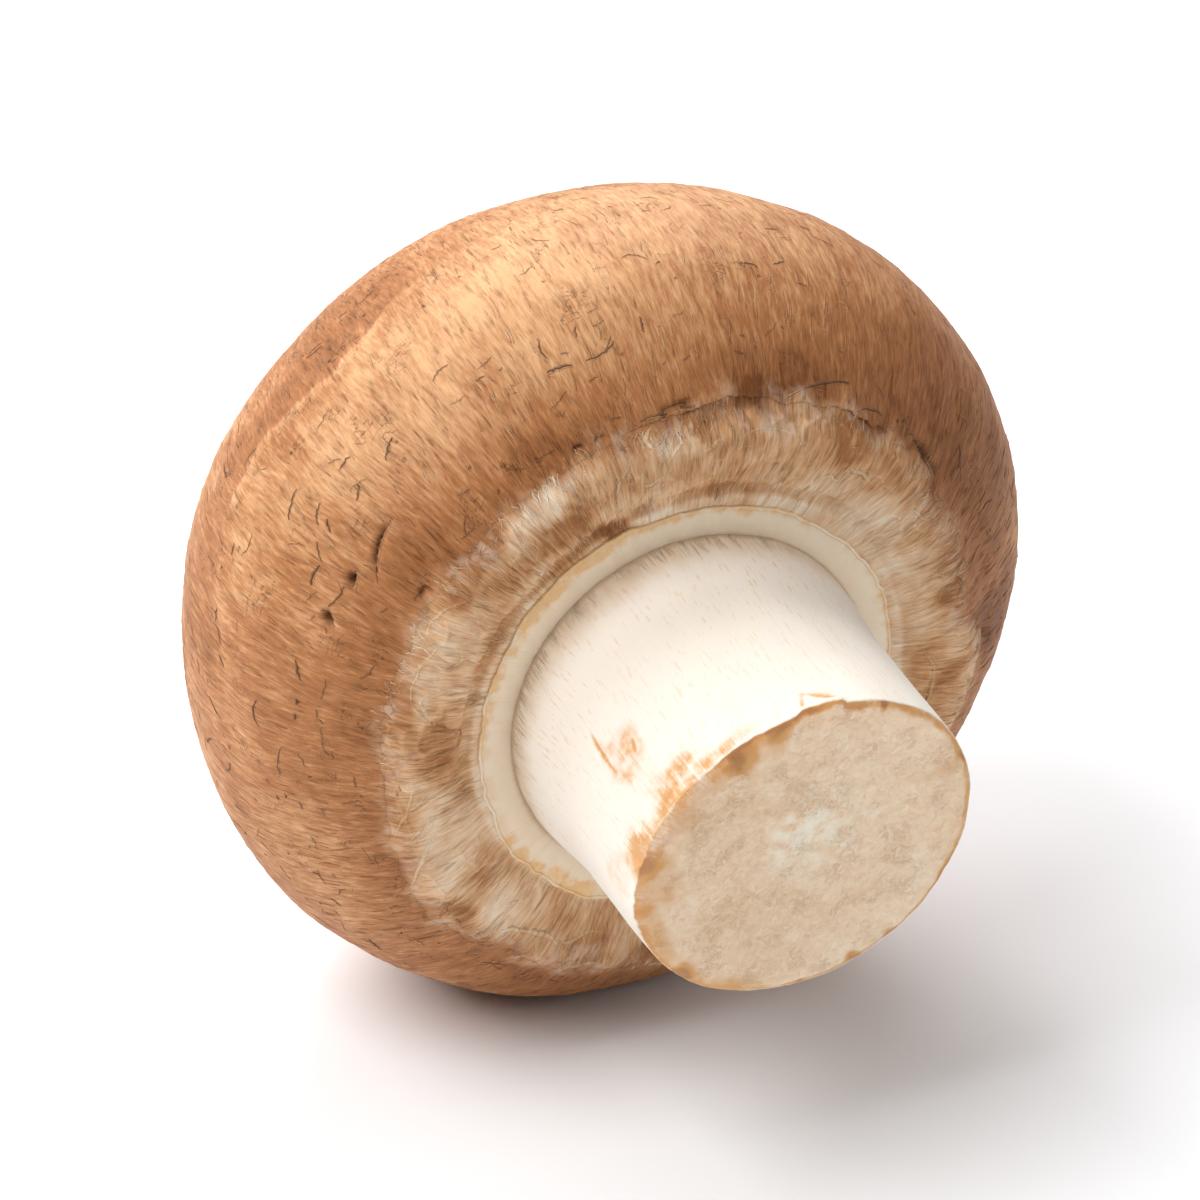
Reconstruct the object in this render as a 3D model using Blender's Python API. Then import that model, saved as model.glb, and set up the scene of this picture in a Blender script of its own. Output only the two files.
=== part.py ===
"""A closed-cup chestnut mushroom that lies on the side of its cap, with its stem clear of the surface.

Three pieces, as they come apart by hand: the cap, the veil that closes its underside, and the stem.
Each is a profile turned about the mushroom's own axis and then bent into its natural, slightly uneven form.
Lengths are in metres. The world has +Z up, and the stem points along -Y.
In a piece's own frame +Z runs along the axis from the crown to the foot, +Y is up and z = 0 is the widest
part of the cap, so a profile point is (radius, height along the axis).
"""

import math

import bmesh
import bpy
from mathutils import Matrix, Vector

# Cap: half its width, the crown's height over the widest line, and how deep its rolled margin would run
# if it closed on the axis.
CAP_RADIUS = 0.0240
CROWN_HEIGHT = 0.0180
MARGIN_DEPTH = 0.0158
CAP_SQUARENESS = 2.15

# A cap is never quite round: each wave is (lobes, share of the radius, where its first lobe points).
CAP_WAVES = (
    (2, 0.0074, math.radians(41)),
    (3, 0.0111, math.radians(18)),
)
CAP_LEAN = 0.0010
CAP_LEAN_TOWARDS = math.radians(122)
ROUND_WITHIN = 0.0110

# Underside: the veil lies in a shallow recess inside the margin, and the stem stands in a socket.
VEIL_RADIUS = 0.0171
VEIL_SEAT_HEIGHT = 0.0096
VEIL_CREST_RADIUS = 0.0160
VEIL_CREST_HEIGHT = 0.0120
VEIL_CREST_ROUNDING = 0.0005
SOCKET_FLOOR_HEIGHT = 0.0037
SOCKET_CHAMFER = 0.0010

# Collar: its lip, the groove in the veil just outside it, and where it meets the stem.
COLLAR_RADIUS = 0.0122
COLLAR_HEIGHT = 0.0115
COLLAR_INNER_HEIGHT = 0.0116
COLLAR_CHAMFER = 0.0002
GROOVE_RADIUS = 0.0133
GROOVE_HEIGHT = 0.0112

# Stem: its root in the socket, its slight waist, and the foot that was cut off a little aslant.
STEM_TOP_RADIUS = 0.0103
STEM_WAIST_RADIUS = 0.00985
STEM_FOOT_RADIUS = 0.00975
STEM_WAIST_HEIGHT = 0.0185
FOOT_HEIGHT = 0.0268
FOOT_SLANT = math.radians(8.5)
FOOT_DROP = 0.0003
STEM_WAVES = (
    (2, 0.0155, math.radians(58)),
    (3, 0.0117, math.radians(58)),
)
STEM_ROUND_UNTIL = 0.0125
ROOT_CHAMFER = 0.0015
STEM_RINGS = 5

# Clearance between two pieces that meet.
GAP = 0.0003

# Pose: how far the stem points below level, and how deep the flat is that the cap lies on.
STEM_DROOP = math.radians(4.7)
RESTING_FLAT_DEPTH = 0.0010

# Colours.
CAP_COLOUR = (0.50, 0.26, 0.125)
VEIL_COLOUR = (0.68, 0.52, 0.36)
STEM_COLOUR = (0.87, 0.79, 0.68)

# Mesh fineness, and the angle from which an edge is drawn sharp.
TURNS = 72
CROWN_RINGS = 20
MARGIN_RINGS = 12
SHARP_FROM = math.radians(13)


def smoothstep(low, high, value):
    """0 up to low, 1 from high, and an even S between them."""
    share = min(1.0, max(0.0, (value - low) / (high - low)))
    return share * share * (3.0 - 2.0 * share)


def waves(lobes, angle):
    """The sum of the given lobes at an angle about the axis, as a share of the radius."""
    return sum(share * math.cos(count * (angle - first)) for count, share, first in lobes)


def bend_cap(point):
    """Moves a point of the turned cap or veil to where the uneven mushroom has it."""
    radius = math.hypot(point.x, point.y)
    angle = math.atan2(point.y, point.x)
    uneven = smoothstep(ROUND_WITHIN, CAP_RADIUS, radius)
    stretch = 1.0 + uneven * waves(CAP_WAVES, angle)
    lean = uneven * CAP_LEAN * math.cos(angle - CAP_LEAN_TOWARDS)
    return Vector((point.x * stretch, point.y * stretch, point.z + lean))


def bend_stem(point):
    """Moves a point of the turned stem: uneven past the collar, and dropped and slanted towards the foot."""
    angle = math.atan2(point.y, point.x)
    uneven = smoothstep(STEM_ROUND_UNTIL, FOOT_HEIGHT, point.z)
    stretch = 1.0 + uneven * waves(STEM_WAVES, angle)
    slant = smoothstep(STEM_WAIST_HEIGHT, FOOT_HEIGHT, point.z) * math.tan(FOOT_SLANT) * point.y
    return Vector((point.x * stretch, point.y * stretch - uneven * FOOT_DROP, point.z + slant))


def superellipse(share, depth):
    """A point of the cap's outline, a share of a quarter turn from the widest line towards the axis."""
    angle = share * math.pi / 2.0
    across = math.cos(angle)
    along = math.sin(angle)
    reach = (across**CAP_SQUARENESS + along**CAP_SQUARENESS) ** (-1.0 / CAP_SQUARENESS)
    return Vector((CAP_RADIUS * across * reach, depth * along * reach))


def margin_end():
    """The share of a quarter turn at which the rolled margin meets the veil."""
    low, high = 0.0, 1.0
    while high - low > 1e-6:
        middle = (low + high) / 2.0
        if superellipse(middle, MARGIN_DEPTH).x > VEIL_RADIUS + GAP:
            low = middle
        else:
            high = middle
    return low


def cap_profile():
    """The crown's height, the outline from it over the margin into the socket, and the floor's height."""
    crown = [superellipse(1.0 - step / CROWN_RINGS, -CROWN_HEIGHT) for step in range(1, CROWN_RINGS)]
    end = margin_end()
    margin = [superellipse(end * step / MARGIN_RINGS, MARGIN_DEPTH) for step in range(MARGIN_RINGS + 1)]
    socket_radius = STEM_TOP_RADIUS + GAP
    inside = [
        Vector((VEIL_RADIUS + GAP, VEIL_SEAT_HEIGHT)),
        Vector((socket_radius, VEIL_SEAT_HEIGHT)),
        Vector((socket_radius, SOCKET_FLOOR_HEIGHT + SOCKET_CHAMFER)),
        Vector((socket_radius - SOCKET_CHAMFER, SOCKET_FLOOR_HEIGHT)),
    ]
    return -CROWN_HEIGHT, crown + margin + inside, SOCKET_FLOOR_HEIGHT


def veil_profile():
    """The veil's closed outline: its seat, outer wall, crest, fall to the groove, and the collar."""
    hole = STEM_TOP_RADIUS + GAP
    seat = VEIL_SEAT_HEIGHT + GAP
    rounding = VEIL_CREST_ROUNDING
    slope_radius = (VEIL_CREST_RADIUS + GROOVE_RADIUS) / 2.0
    slope_height = (VEIL_CREST_HEIGHT + GROOVE_HEIGHT) / 2.0
    return [
        Vector((hole, seat)),
        Vector((VEIL_RADIUS, seat)),
        Vector((VEIL_RADIUS, superellipse(margin_end(), MARGIN_DEPTH).y)),
        Vector((VEIL_CREST_RADIUS + rounding, VEIL_CREST_HEIGHT - rounding / 2.0)),
        Vector((VEIL_CREST_RADIUS, VEIL_CREST_HEIGHT)),
        Vector((slope_radius, slope_height)),
        Vector((GROOVE_RADIUS, GROOVE_HEIGHT)),
        Vector((COLLAR_RADIUS + COLLAR_CHAMFER, COLLAR_HEIGHT - COLLAR_CHAMFER)),
        Vector((COLLAR_RADIUS, COLLAR_HEIGHT)),
        Vector((hole + COLLAR_CHAMFER, COLLAR_INNER_HEIGHT)),
        Vector((hole, COLLAR_INNER_HEIGHT - COLLAR_CHAMFER)),
    ]


def stem_profile():
    """From the root in the socket, along the waisted stem, to the edge of the cut foot."""
    root = SOCKET_FLOOR_HEIGHT + GAP
    side = [
        Vector((STEM_TOP_RADIUS - ROOT_CHAMFER, root)),
        Vector((STEM_TOP_RADIUS, root + ROOT_CHAMFER)),
        Vector((STEM_TOP_RADIUS, COLLAR_INNER_HEIGHT)),
    ]
    for step in range(1, STEM_RINGS + 1):
        share = step / STEM_RINGS
        height = COLLAR_INNER_HEIGHT + share * (STEM_WAIST_HEIGHT - COLLAR_INNER_HEIGHT)
        fall = (STEM_TOP_RADIUS - STEM_WAIST_RADIUS) * smoothstep(0.0, 1.0, share)
        side.append(Vector((STEM_TOP_RADIUS - fall, height)))
    for step in range(1, STEM_RINGS + 1):
        share = step / STEM_RINGS
        height = STEM_WAIST_HEIGHT + share * (FOOT_HEIGHT - STEM_WAIST_HEIGHT)
        rise = (STEM_FOOT_RADIUS - STEM_WAIST_RADIUS) * smoothstep(0.0, 1.0, share)
        side.append(Vector((STEM_WAIST_RADIUS + rise, height)))
    return side


def spun(points, closed):
    """A bmesh of the outline turned once about the axis. A closed outline also joins its end to its start."""
    shape = bmesh.new()
    ring = [shape.verts.new((point.x, 0.0, point.y)) for point in points]
    edges = [shape.edges.new(pair) for pair in zip(ring, ring[1:])]
    if closed:
        edges.append(shape.edges.new((ring[-1], ring[0])))
    bmesh.ops.spin(
        shape,
        geom=ring + edges,
        cent=(0.0, 0.0, 0.0),
        axis=(0.0, 0.0, 1.0),
        angle=math.tau,
        steps=TURNS,
        use_merge=True,
    )
    bmesh.ops.remove_doubles(shape, verts=shape.verts, dist=1e-6)
    return shape


def close_end(shape, height, tip_height=None):
    """Fills the open ring at a height: flat, or to a tip on the axis if its height is given."""
    edges = [
        edge
        for edge in shape.edges
        if edge.is_boundary and abs(edge.verts[0].co.z - height) < 1e-6
    ]
    if tip_height is None:
        bmesh.ops.edgeloop_fill(shape, edges=edges)
        return
    tip = shape.verts.new((0.0, 0.0, tip_height))
    for edge in edges:
        shape.faces.new((*edge.verts, tip))


def bent(shape, bend):
    """The shape after its natural unevenness."""
    for vertex in shape.verts:
        vertex.co = bend(vertex.co)
    return shape


def material(name, colour, roughness):
    """A matt natural finish."""
    made = bpy.data.materials.new(name)
    made.use_nodes = True
    shader = made.node_tree.nodes["Principled BSDF"]
    shader.inputs["Base Color"].default_value = (*colour, 1.0)
    shader.inputs["Roughness"].default_value = roughness
    shader.inputs["Metallic"].default_value = 0.0
    made.diffuse_color = (*colour, 1.0)
    return made


def cap_shape():
    """The cap: crown, rolled margin, the recess under it and the socket for the stem."""
    crown_tip, outline, socket_middle = cap_profile()
    shape = spun(outline, closed=False)
    close_end(shape, outline[0].y, crown_tip)
    close_end(shape, outline[-1].y, socket_middle)
    return bent(shape, bend_cap)


def veil_shape():
    """The veil: a ring of membrane from the margin to the stem, with its thin collar."""
    return bent(spun(veil_profile(), closed=True), bend_cap)


def stem_shape():
    """The stem: rooted in the cap's socket, with a flat cut foot."""
    outline = stem_profile()
    shape = spun(outline, closed=False)
    close_end(shape, outline[0].y)
    close_end(shape, outline[-1].y)
    return bent(shape, bend_stem)


def resting_place(shapes):
    """The placing that lays the mushroom on its cap's side, with the middle of its box over the origin."""
    turn = Matrix.Rotation(math.pi / 2.0 + STEM_DROOP, 4, "X")
    points = [turn @ vertex.co for shape in shapes for vertex in shape.verts]
    low = [min(point[axis] for point in points) for axis in range(3)]
    high = [max(point[axis] for point in points) for axis in range(3)]
    middle = Vector(((low[0] + high[0]) / 2.0, (low[1] + high[1]) / 2.0, low[2] + RESTING_FLAT_DEPTH))
    return Matrix.Translation(-middle) @ turn


def cut_resting_flat(shape, placing):
    """Cuts the cap level with the surface that it lies on, which leaves a flat facet on its side."""
    to_own_frame = placing.inverted()
    surface_point = to_own_frame @ Vector((0.0, 0.0, 0.0))
    surface_up = (to_own_frame.to_3x3() @ Vector((0.0, 0.0, 1.0))).normalized()
    cut = bmesh.ops.bisect_plane(
        shape,
        geom=list(shape.verts) + list(shape.edges) + list(shape.faces),
        dist=1e-7,
        plane_co=surface_point,
        plane_no=surface_up,
        clear_inner=True,
    )
    rim = [part for part in cut["geom_cut"] if isinstance(part, bmesh.types.BMEdge)]
    bmesh.ops.edgeloop_fill(shape, edges=rim)


def piece(name, shape, finish, pose):
    """Makes the named object of a shape, with its faces outwards and its round sides smooth."""
    bmesh.ops.recalc_face_normals(shape, faces=shape.faces)
    mesh = bpy.data.meshes.new(name)
    shape.to_mesh(mesh)
    shape.free()
    mesh.shade_smooth()
    mesh.set_sharp_from_angle(angle=SHARP_FROM)
    mesh.materials.append(finish)
    made = bpy.data.objects.new(name, mesh)
    bpy.context.scene.collection.objects.link(made)
    made.parent = pose


def clear_scene():
    for found in list(bpy.data.objects):
        bpy.data.objects.remove(found)


def main():
    clear_scene()
    cap, veil, stem = cap_shape(), veil_shape(), stem_shape()
    placing = resting_place((cap, veil, stem))
    cut_resting_flat(cap, placing)
    pose = bpy.data.objects.new("mushroom_axis", None)
    pose.matrix_world = placing
    bpy.context.scene.collection.objects.link(pose)
    piece("cap", cap, material("cap_skin", CAP_COLOUR, 0.62), pose)
    piece("veil", veil, material("veil_membrane", VEIL_COLOUR, 0.80), pose)
    piece("stem", stem, material("stem_flesh", STEM_COLOUR, 0.60), pose)
    bpy.context.view_layer.update()


main()
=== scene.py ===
"""The looks of a closed-cup chestnut mushroom that lies on the side of its cap.

Shapes are worked out in the mushroom's own frame, in millimetres: the axis runs from the crown (negative
heights) to the foot (positive heights), height 0 is the cap's widest line, and "around" is the angle about
the axis, counted from the right towards the top as it lies. "Along" is the length over the cap's surface,
counted from the middle of the crown over the margin to the collar. Angles in tables and fields are in
degrees, and those that methods take and give are in radians.
"""

import itertools
import logging
import math
from collections.abc import Mapping, Sequence
from dataclasses import dataclass
from enum import Enum, IntEnum
from functools import cached_property

import bpy
import numpy as np
from mathutils import Matrix, Vector


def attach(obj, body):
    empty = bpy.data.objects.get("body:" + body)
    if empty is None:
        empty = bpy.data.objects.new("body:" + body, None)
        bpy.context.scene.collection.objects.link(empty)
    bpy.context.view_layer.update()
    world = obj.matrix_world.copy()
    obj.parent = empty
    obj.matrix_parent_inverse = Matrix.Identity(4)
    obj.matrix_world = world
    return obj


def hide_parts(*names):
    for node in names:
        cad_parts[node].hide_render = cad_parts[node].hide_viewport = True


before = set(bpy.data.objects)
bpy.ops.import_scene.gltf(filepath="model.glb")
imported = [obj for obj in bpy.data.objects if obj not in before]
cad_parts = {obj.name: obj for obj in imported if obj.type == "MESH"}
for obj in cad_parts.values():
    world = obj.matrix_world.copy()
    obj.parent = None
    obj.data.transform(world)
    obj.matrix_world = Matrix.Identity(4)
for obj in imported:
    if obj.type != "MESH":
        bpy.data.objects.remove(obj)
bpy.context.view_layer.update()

MILLIMETRE = 0.001
TINY = 1e-12
log = logging.getLogger("mushroom")

Array = np.ndarray
Pair = tuple[float, float]
Triple = tuple[float, float, float]
Rows = tuple[tuple[float, ...], ...]
Colour = Triple
Finish = bpy.types.Material
Piece = bpy.types.Object


# ---- numbers over a surface


def smooth(low: float | Array, high: float | Array, value: Array) -> Array:
    """0 below low, 1 above high, and an even S between them.

    Args:
        low: where the rise starts.
        high: where it ends.
        value: what is compared with them.

    Returns:
        The share, 3t^2 - 2t^3, where t is the way from low to high.
    """
    share = np.clip((value - low) / (high - low), 0.0, 1.0)
    return share * share * (3.0 - 2.0 * share)


def between(low: float, high: float, edge: float, value: Array) -> Array:
    """1 between low and high, falling to 0 over a soft edge outside them."""
    return smooth(low - edge, low, value) * (1.0 - smooth(high, high + edge, value))


def turn_between(low: float, high: float, edge: float, around: Array) -> Array:
    """As between, for a range in degrees and angles in radians, wherever the turn starts."""
    off = np.degrees(np.angle(np.exp(1j * (around - math.radians((low + high) / 2.0)))))
    return between(-(high - low) / 2.0, (high - low) / 2.0, edge, off)


class Pattern(IntEnum):
    """The seed of each pattern of noise."""

    FLESH = 3
    FIBRE_SWAY = 5
    FIBRE_FLOW = 8
    RAGGED_OUTLINE = 9
    SKIN_TINT = 12
    VEIL_BLOOM = 13
    TERRACE = 14
    SKIN_EDGE = 21
    LOOSE_EDGE = 22
    VEIL_RELIEF = 40
    VEIL_SEAMS = 43
    THREAD_CLUMPS = 50
    FOLD_WAVER = 55
    COLLAR_RELIEF = 60
    COLLAR_BROWN = 61
    STEM_SIDE = 70
    STEM_STAIN = 71
    CUT_FACE = 73
    PITH = 74


class Grain:
    """Smooth seeded noise in space: gradients on a lattice, faded into each other."""

    gain = 1.7
    layer_shift = 17.3

    def __init__(self, seed: Pattern) -> None:
        """Draws the lattice's gradients.

        Args:
            seed: fixes the pattern.
        """
        draw = np.random.default_rng(int(seed))
        self.order = np.tile(draw.permutation(256), 2)
        slopes = draw.normal(size=(256, 3))
        self.slopes = slopes / np.linalg.norm(slopes, axis=1, keepdims=True)

    def at(self, points: Array) -> Array:
        """The noise at points.

        Args:
            points: any shape, with x, y, z last, in lattice cells.

        Returns:
            About -1 to 1: the eight corners' slopes times the way from each, faded by 6t^5 - 15t^4 + 10t^3.
        """
        cell = np.floor(points).astype(int)
        part = points - cell
        fade = part**3 * (part * (part * 6.0 - 15.0) + 10.0)
        total = np.zeros(points.shape[:-1])
        for corner in itertools.product((0, 1), repeat=3):
            index = (cell + corner) & 255
            pick = self.order[self.order[self.order[index[..., 0]] + index[..., 1]] + index[..., 2]]
            weight = np.prod(np.where(corner, fade, 1.0 - fade), axis=-1)
            total += weight * np.einsum("...k,...k->...", part - corner, self.slopes[pick])
        return total * self.gain

    def layers(self, points: Array, count: int) -> Array:
        """The noise with finer layers on it, each twice as fine and half as strong."""
        shift = self.layer_shift
        return sum(self.at(points * 2.0**layer + shift * layer) * 0.5**layer for layer in range(count))


def strand_space(around: Array, along: Array, turns: float, stretch: float) -> Array:
    """A place to look up noise so that it is drawn out along the meridians and closes about the axis.

    Args:
        around: angle about the axis.
        along: length down the meridian.
        turns: the noise's cells in one radian.
        stretch: a cell's length down the meridian.

    Returns:
        Points on a cylinder: cos and sin of the angle times turns, and along over stretch.
    """
    around, along = np.broadcast_arrays(around, along)
    return np.stack([np.cos(around) * turns, np.sin(around) * turns, along / stretch], axis=-1)


def full_turn(count: int) -> Array:
    """Angles evenly about the axis."""
    return np.linspace(0.0, math.tau, count, endpoint=False)


def fibre_space(around: Array, along: Array | float) -> Array:
    """The fibre trait: a unit circle about the axis, and tens of millimetres along."""
    return strand_space(around, along, 1.0, 10.0)


# ---- meshes


@dataclass(frozen=True)
class Placing:
    """How the mushroom's own frame lies on the surface, and how far its skin gives where it is pressed."""

    origin: Triple = (-0.157, 5.425, 23.093)
    droop: float = math.radians(4.7)
    give: float = 0.12

    @cached_property
    def turn(self) -> Array:
        """The turn about the world's X that lays the axis down."""
        return np.array(Matrix.Rotation(math.pi / 2.0 + self.droop, 3, "X"))

    def world(self, points: Array) -> Array:
        """Own-frame points in the world, in metres, pressed softly against the surface.

        Args:
            points: in millimetres.

        Returns:
            The turned points. A height z becomes half of z plus the root of z^2 + 4 give^2, which is never
            below 0 and is z itself a little way up.
        """
        laid = points @ self.turn.T + np.array(self.origin)
        laid[..., 2] = (laid[..., 2] + np.sqrt(laid[..., 2] ** 2 + 4.0 * self.give**2)) / 2.0
        return laid * MILLIMETRE


PLACING = Placing()


def grid_faces(rows: int, turns: int, first: int = 0, closed: bool = False) -> Array:
    """Quads between neighbouring rows of a grid that closes about the axis.

    Args:
        rows: rows of points.
        turns: points in each row.
        first: the number of the grid's first point.
        closed: whether the last row joins the first.

    Returns:
        Four point numbers a quad, facing away from the axis where the rows run towards larger heights.
    """
    row, turn = np.meshgrid(np.arange(rows if closed else rows - 1), np.arange(turns), indexing="ij")
    below = (row + 1) % rows
    beside = (turn + 1) % turns
    corners = [row * turns + turn, row * turns + beside, below * turns + beside, below * turns + turn]
    return np.stack(corners, axis=-1).reshape(-1, 4) + first


def make_piece(
    name: str,
    points: Array,
    faces: Sequence[Sequence[int]],
    traits: Mapping[str, Array],
    finish: Finish,
) -> Piece:
    """Makes a mesh object with its place in its mesh.

    Args:
        name: the piece's name.
        points: own-frame points in millimetres, (count, 3).
        faces: point numbers of each face.
        traits: named values at each point, (count,) numbers or (count, 3) vectors.
        finish: its material.

    Returns:
        The smooth-shaded object at the origin.
    """
    mesh = bpy.data.meshes.new(name)
    mesh.from_pydata(PLACING.world(points).tolist(), [], list(faces))
    for trait, values in traits.items():
        vector = values.ndim == 2
        layer = mesh.attributes.new(trait, "FLOAT_VECTOR" if vector else "FLOAT", "POINT")
        layer.data.foreach_set("vector" if vector else "value", values.astype(np.float32).ravel())
    mesh.shade_smooth()
    mesh.materials.append(finish)
    mesh.update()
    piece = bpy.data.objects.new(name, mesh)
    bpy.context.scene.collection.objects.link(piece)
    log.info("%s: %d points, %d faces", name, len(mesh.vertices), len(mesh.polygons))
    return piece


def turned_piece(
    name: str,
    grid: Array,
    traits: Mapping[str, Array],
    finish: Finish,
    ring: bool = False,
) -> Piece:
    """Makes a piece from a grid of rows about the axis.

    Args:
        name: the piece's name.
        grid: (rows, turns, 3) points. Without ring, a pole at the mean of the first row and one at the mean
            of the last close the piece.
        traits: named values, (rows, turns) or (rows, turns, 3).
        finish: its material.
        ring: whether the last row joins the first instead, as on a ring.

    Returns:
        The object.
    """
    rows, turns = grid.shape[:2]
    points = grid.reshape(-1, 3)
    flat = {trait: values.reshape(-1, *values.shape[2:]) for trait, values in traits.items()}
    faces = grid_faces(rows, turns, closed=ring).tolist()
    if not ring:
        count = len(points)
        points = np.vstack([points, grid[0].mean(axis=0), grid[-1].mean(axis=0)])
        flat = {
            trait: np.concatenate([values, [values[:turns].mean(axis=0)], [values[-turns:].mean(axis=0)]])
            for trait, values in flat.items()
        }
        turn = np.arange(turns)
        beside = (turn + 1) % turns
        last = (rows - 1) * turns
        faces += np.stack([np.full(turns, count), beside, turn], axis=1).tolist()
        faces += np.stack([np.full(turns, count + 1), last + turn, last + beside], axis=1).tolist()
    return make_piece(name, points, faces, flat, finish)


def strand_piece(
    name: str,
    spines: Array,
    sideways: Array,
    upwards: Array,
    widths: Array,
    thick: float,
    traits: Mapping[str, Array],
    finish: Finish,
) -> Piece:
    """Makes many fine closed strands, three-sided and pointed at both ends.

    Args:
        name: the piece's name.
        spines: (strands, knots, 3) points along each strand.
        sideways: unit vectors across each strand, the same shape.
        upwards: unit vectors away from the surface, the same shape.
        widths: (strands, knots) full widths.
        thick: how high a strand stands, as a share of its half width.
        traits: named values at the knots, (strands, knots) or (strands, knots, 3).
        finish: the material.

    Returns:
        One object that holds them all.
    """
    strands, knots = widths.shape
    half = widths[..., None] / 2.0
    corners = np.stack(
        [spines + sideways * half, spines + upwards * half * thick, spines - sideways * half], axis=2
    )
    number = np.arange(strands * knots * 3).reshape(strands, knots, 3)
    faces = []
    for side in range(3):
        beside = (side + 1) % 3
        quads = [number[:, :-1, side], number[:, :-1, beside], number[:, 1:, beside], number[:, 1:, side]]
        faces += np.stack(quads, axis=-1).reshape(-1, 4).tolist()
    faces += number[:, 0, ::-1].tolist() + number[:, -1].tolist()
    spread = {
        trait: np.repeat(values.reshape(strands * knots, *values.shape[2:]), 3, axis=0)
        for trait, values in traits.items()
    }
    return make_piece(name, corners.reshape(-1, 3), faces, spread, finish)


# ---- shader expressions


class Wire:
    """A shader value that Python arithmetic works on. Each operation adds a Math node."""

    def __init__(self, graph: "Graph", socket: bpy.types.NodeSocket) -> None:
        """Wraps a socket.

        Args:
            graph: the material that it belongs to.
            socket: the output that carries the value.
        """
        self.graph = graph
        self.socket = socket

    def __add__(self, other: "Value") -> "Wire":
        """Adds."""
        return self.graph.maths("ADD", self, other)

    __radd__ = __add__

    def __mul__(self, other: "Value") -> "Wire":
        """Multiplies."""
        return self.graph.maths("MULTIPLY", self, other)

    __rmul__ = __mul__

    def __sub__(self, other: "Value") -> "Wire":
        """Subtracts."""
        return self.graph.maths("SUBTRACT", self, other)

    def __rsub__(self, other: "Value") -> "Wire":
        """Subtracts this value from a number."""
        return self.graph.maths("SUBTRACT", other, self)

    def __abs__(self) -> "Wire":
        """Drops the sign."""
        return self.graph.maths("ABSOLUTE", self, 0.0)

    def rise(self, low: float, high: float) -> "Wire":
        """0 below low and 1 above high, with an even S between them. low may be the larger."""
        inputs = {"Value": self, "From Min": low, "From Max": high}
        return self.graph.node("ShaderNodeMapRange", {"interpolation_type": "SMOOTHSTEP"}, inputs, "Result")


Value = Wire | float


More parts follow.
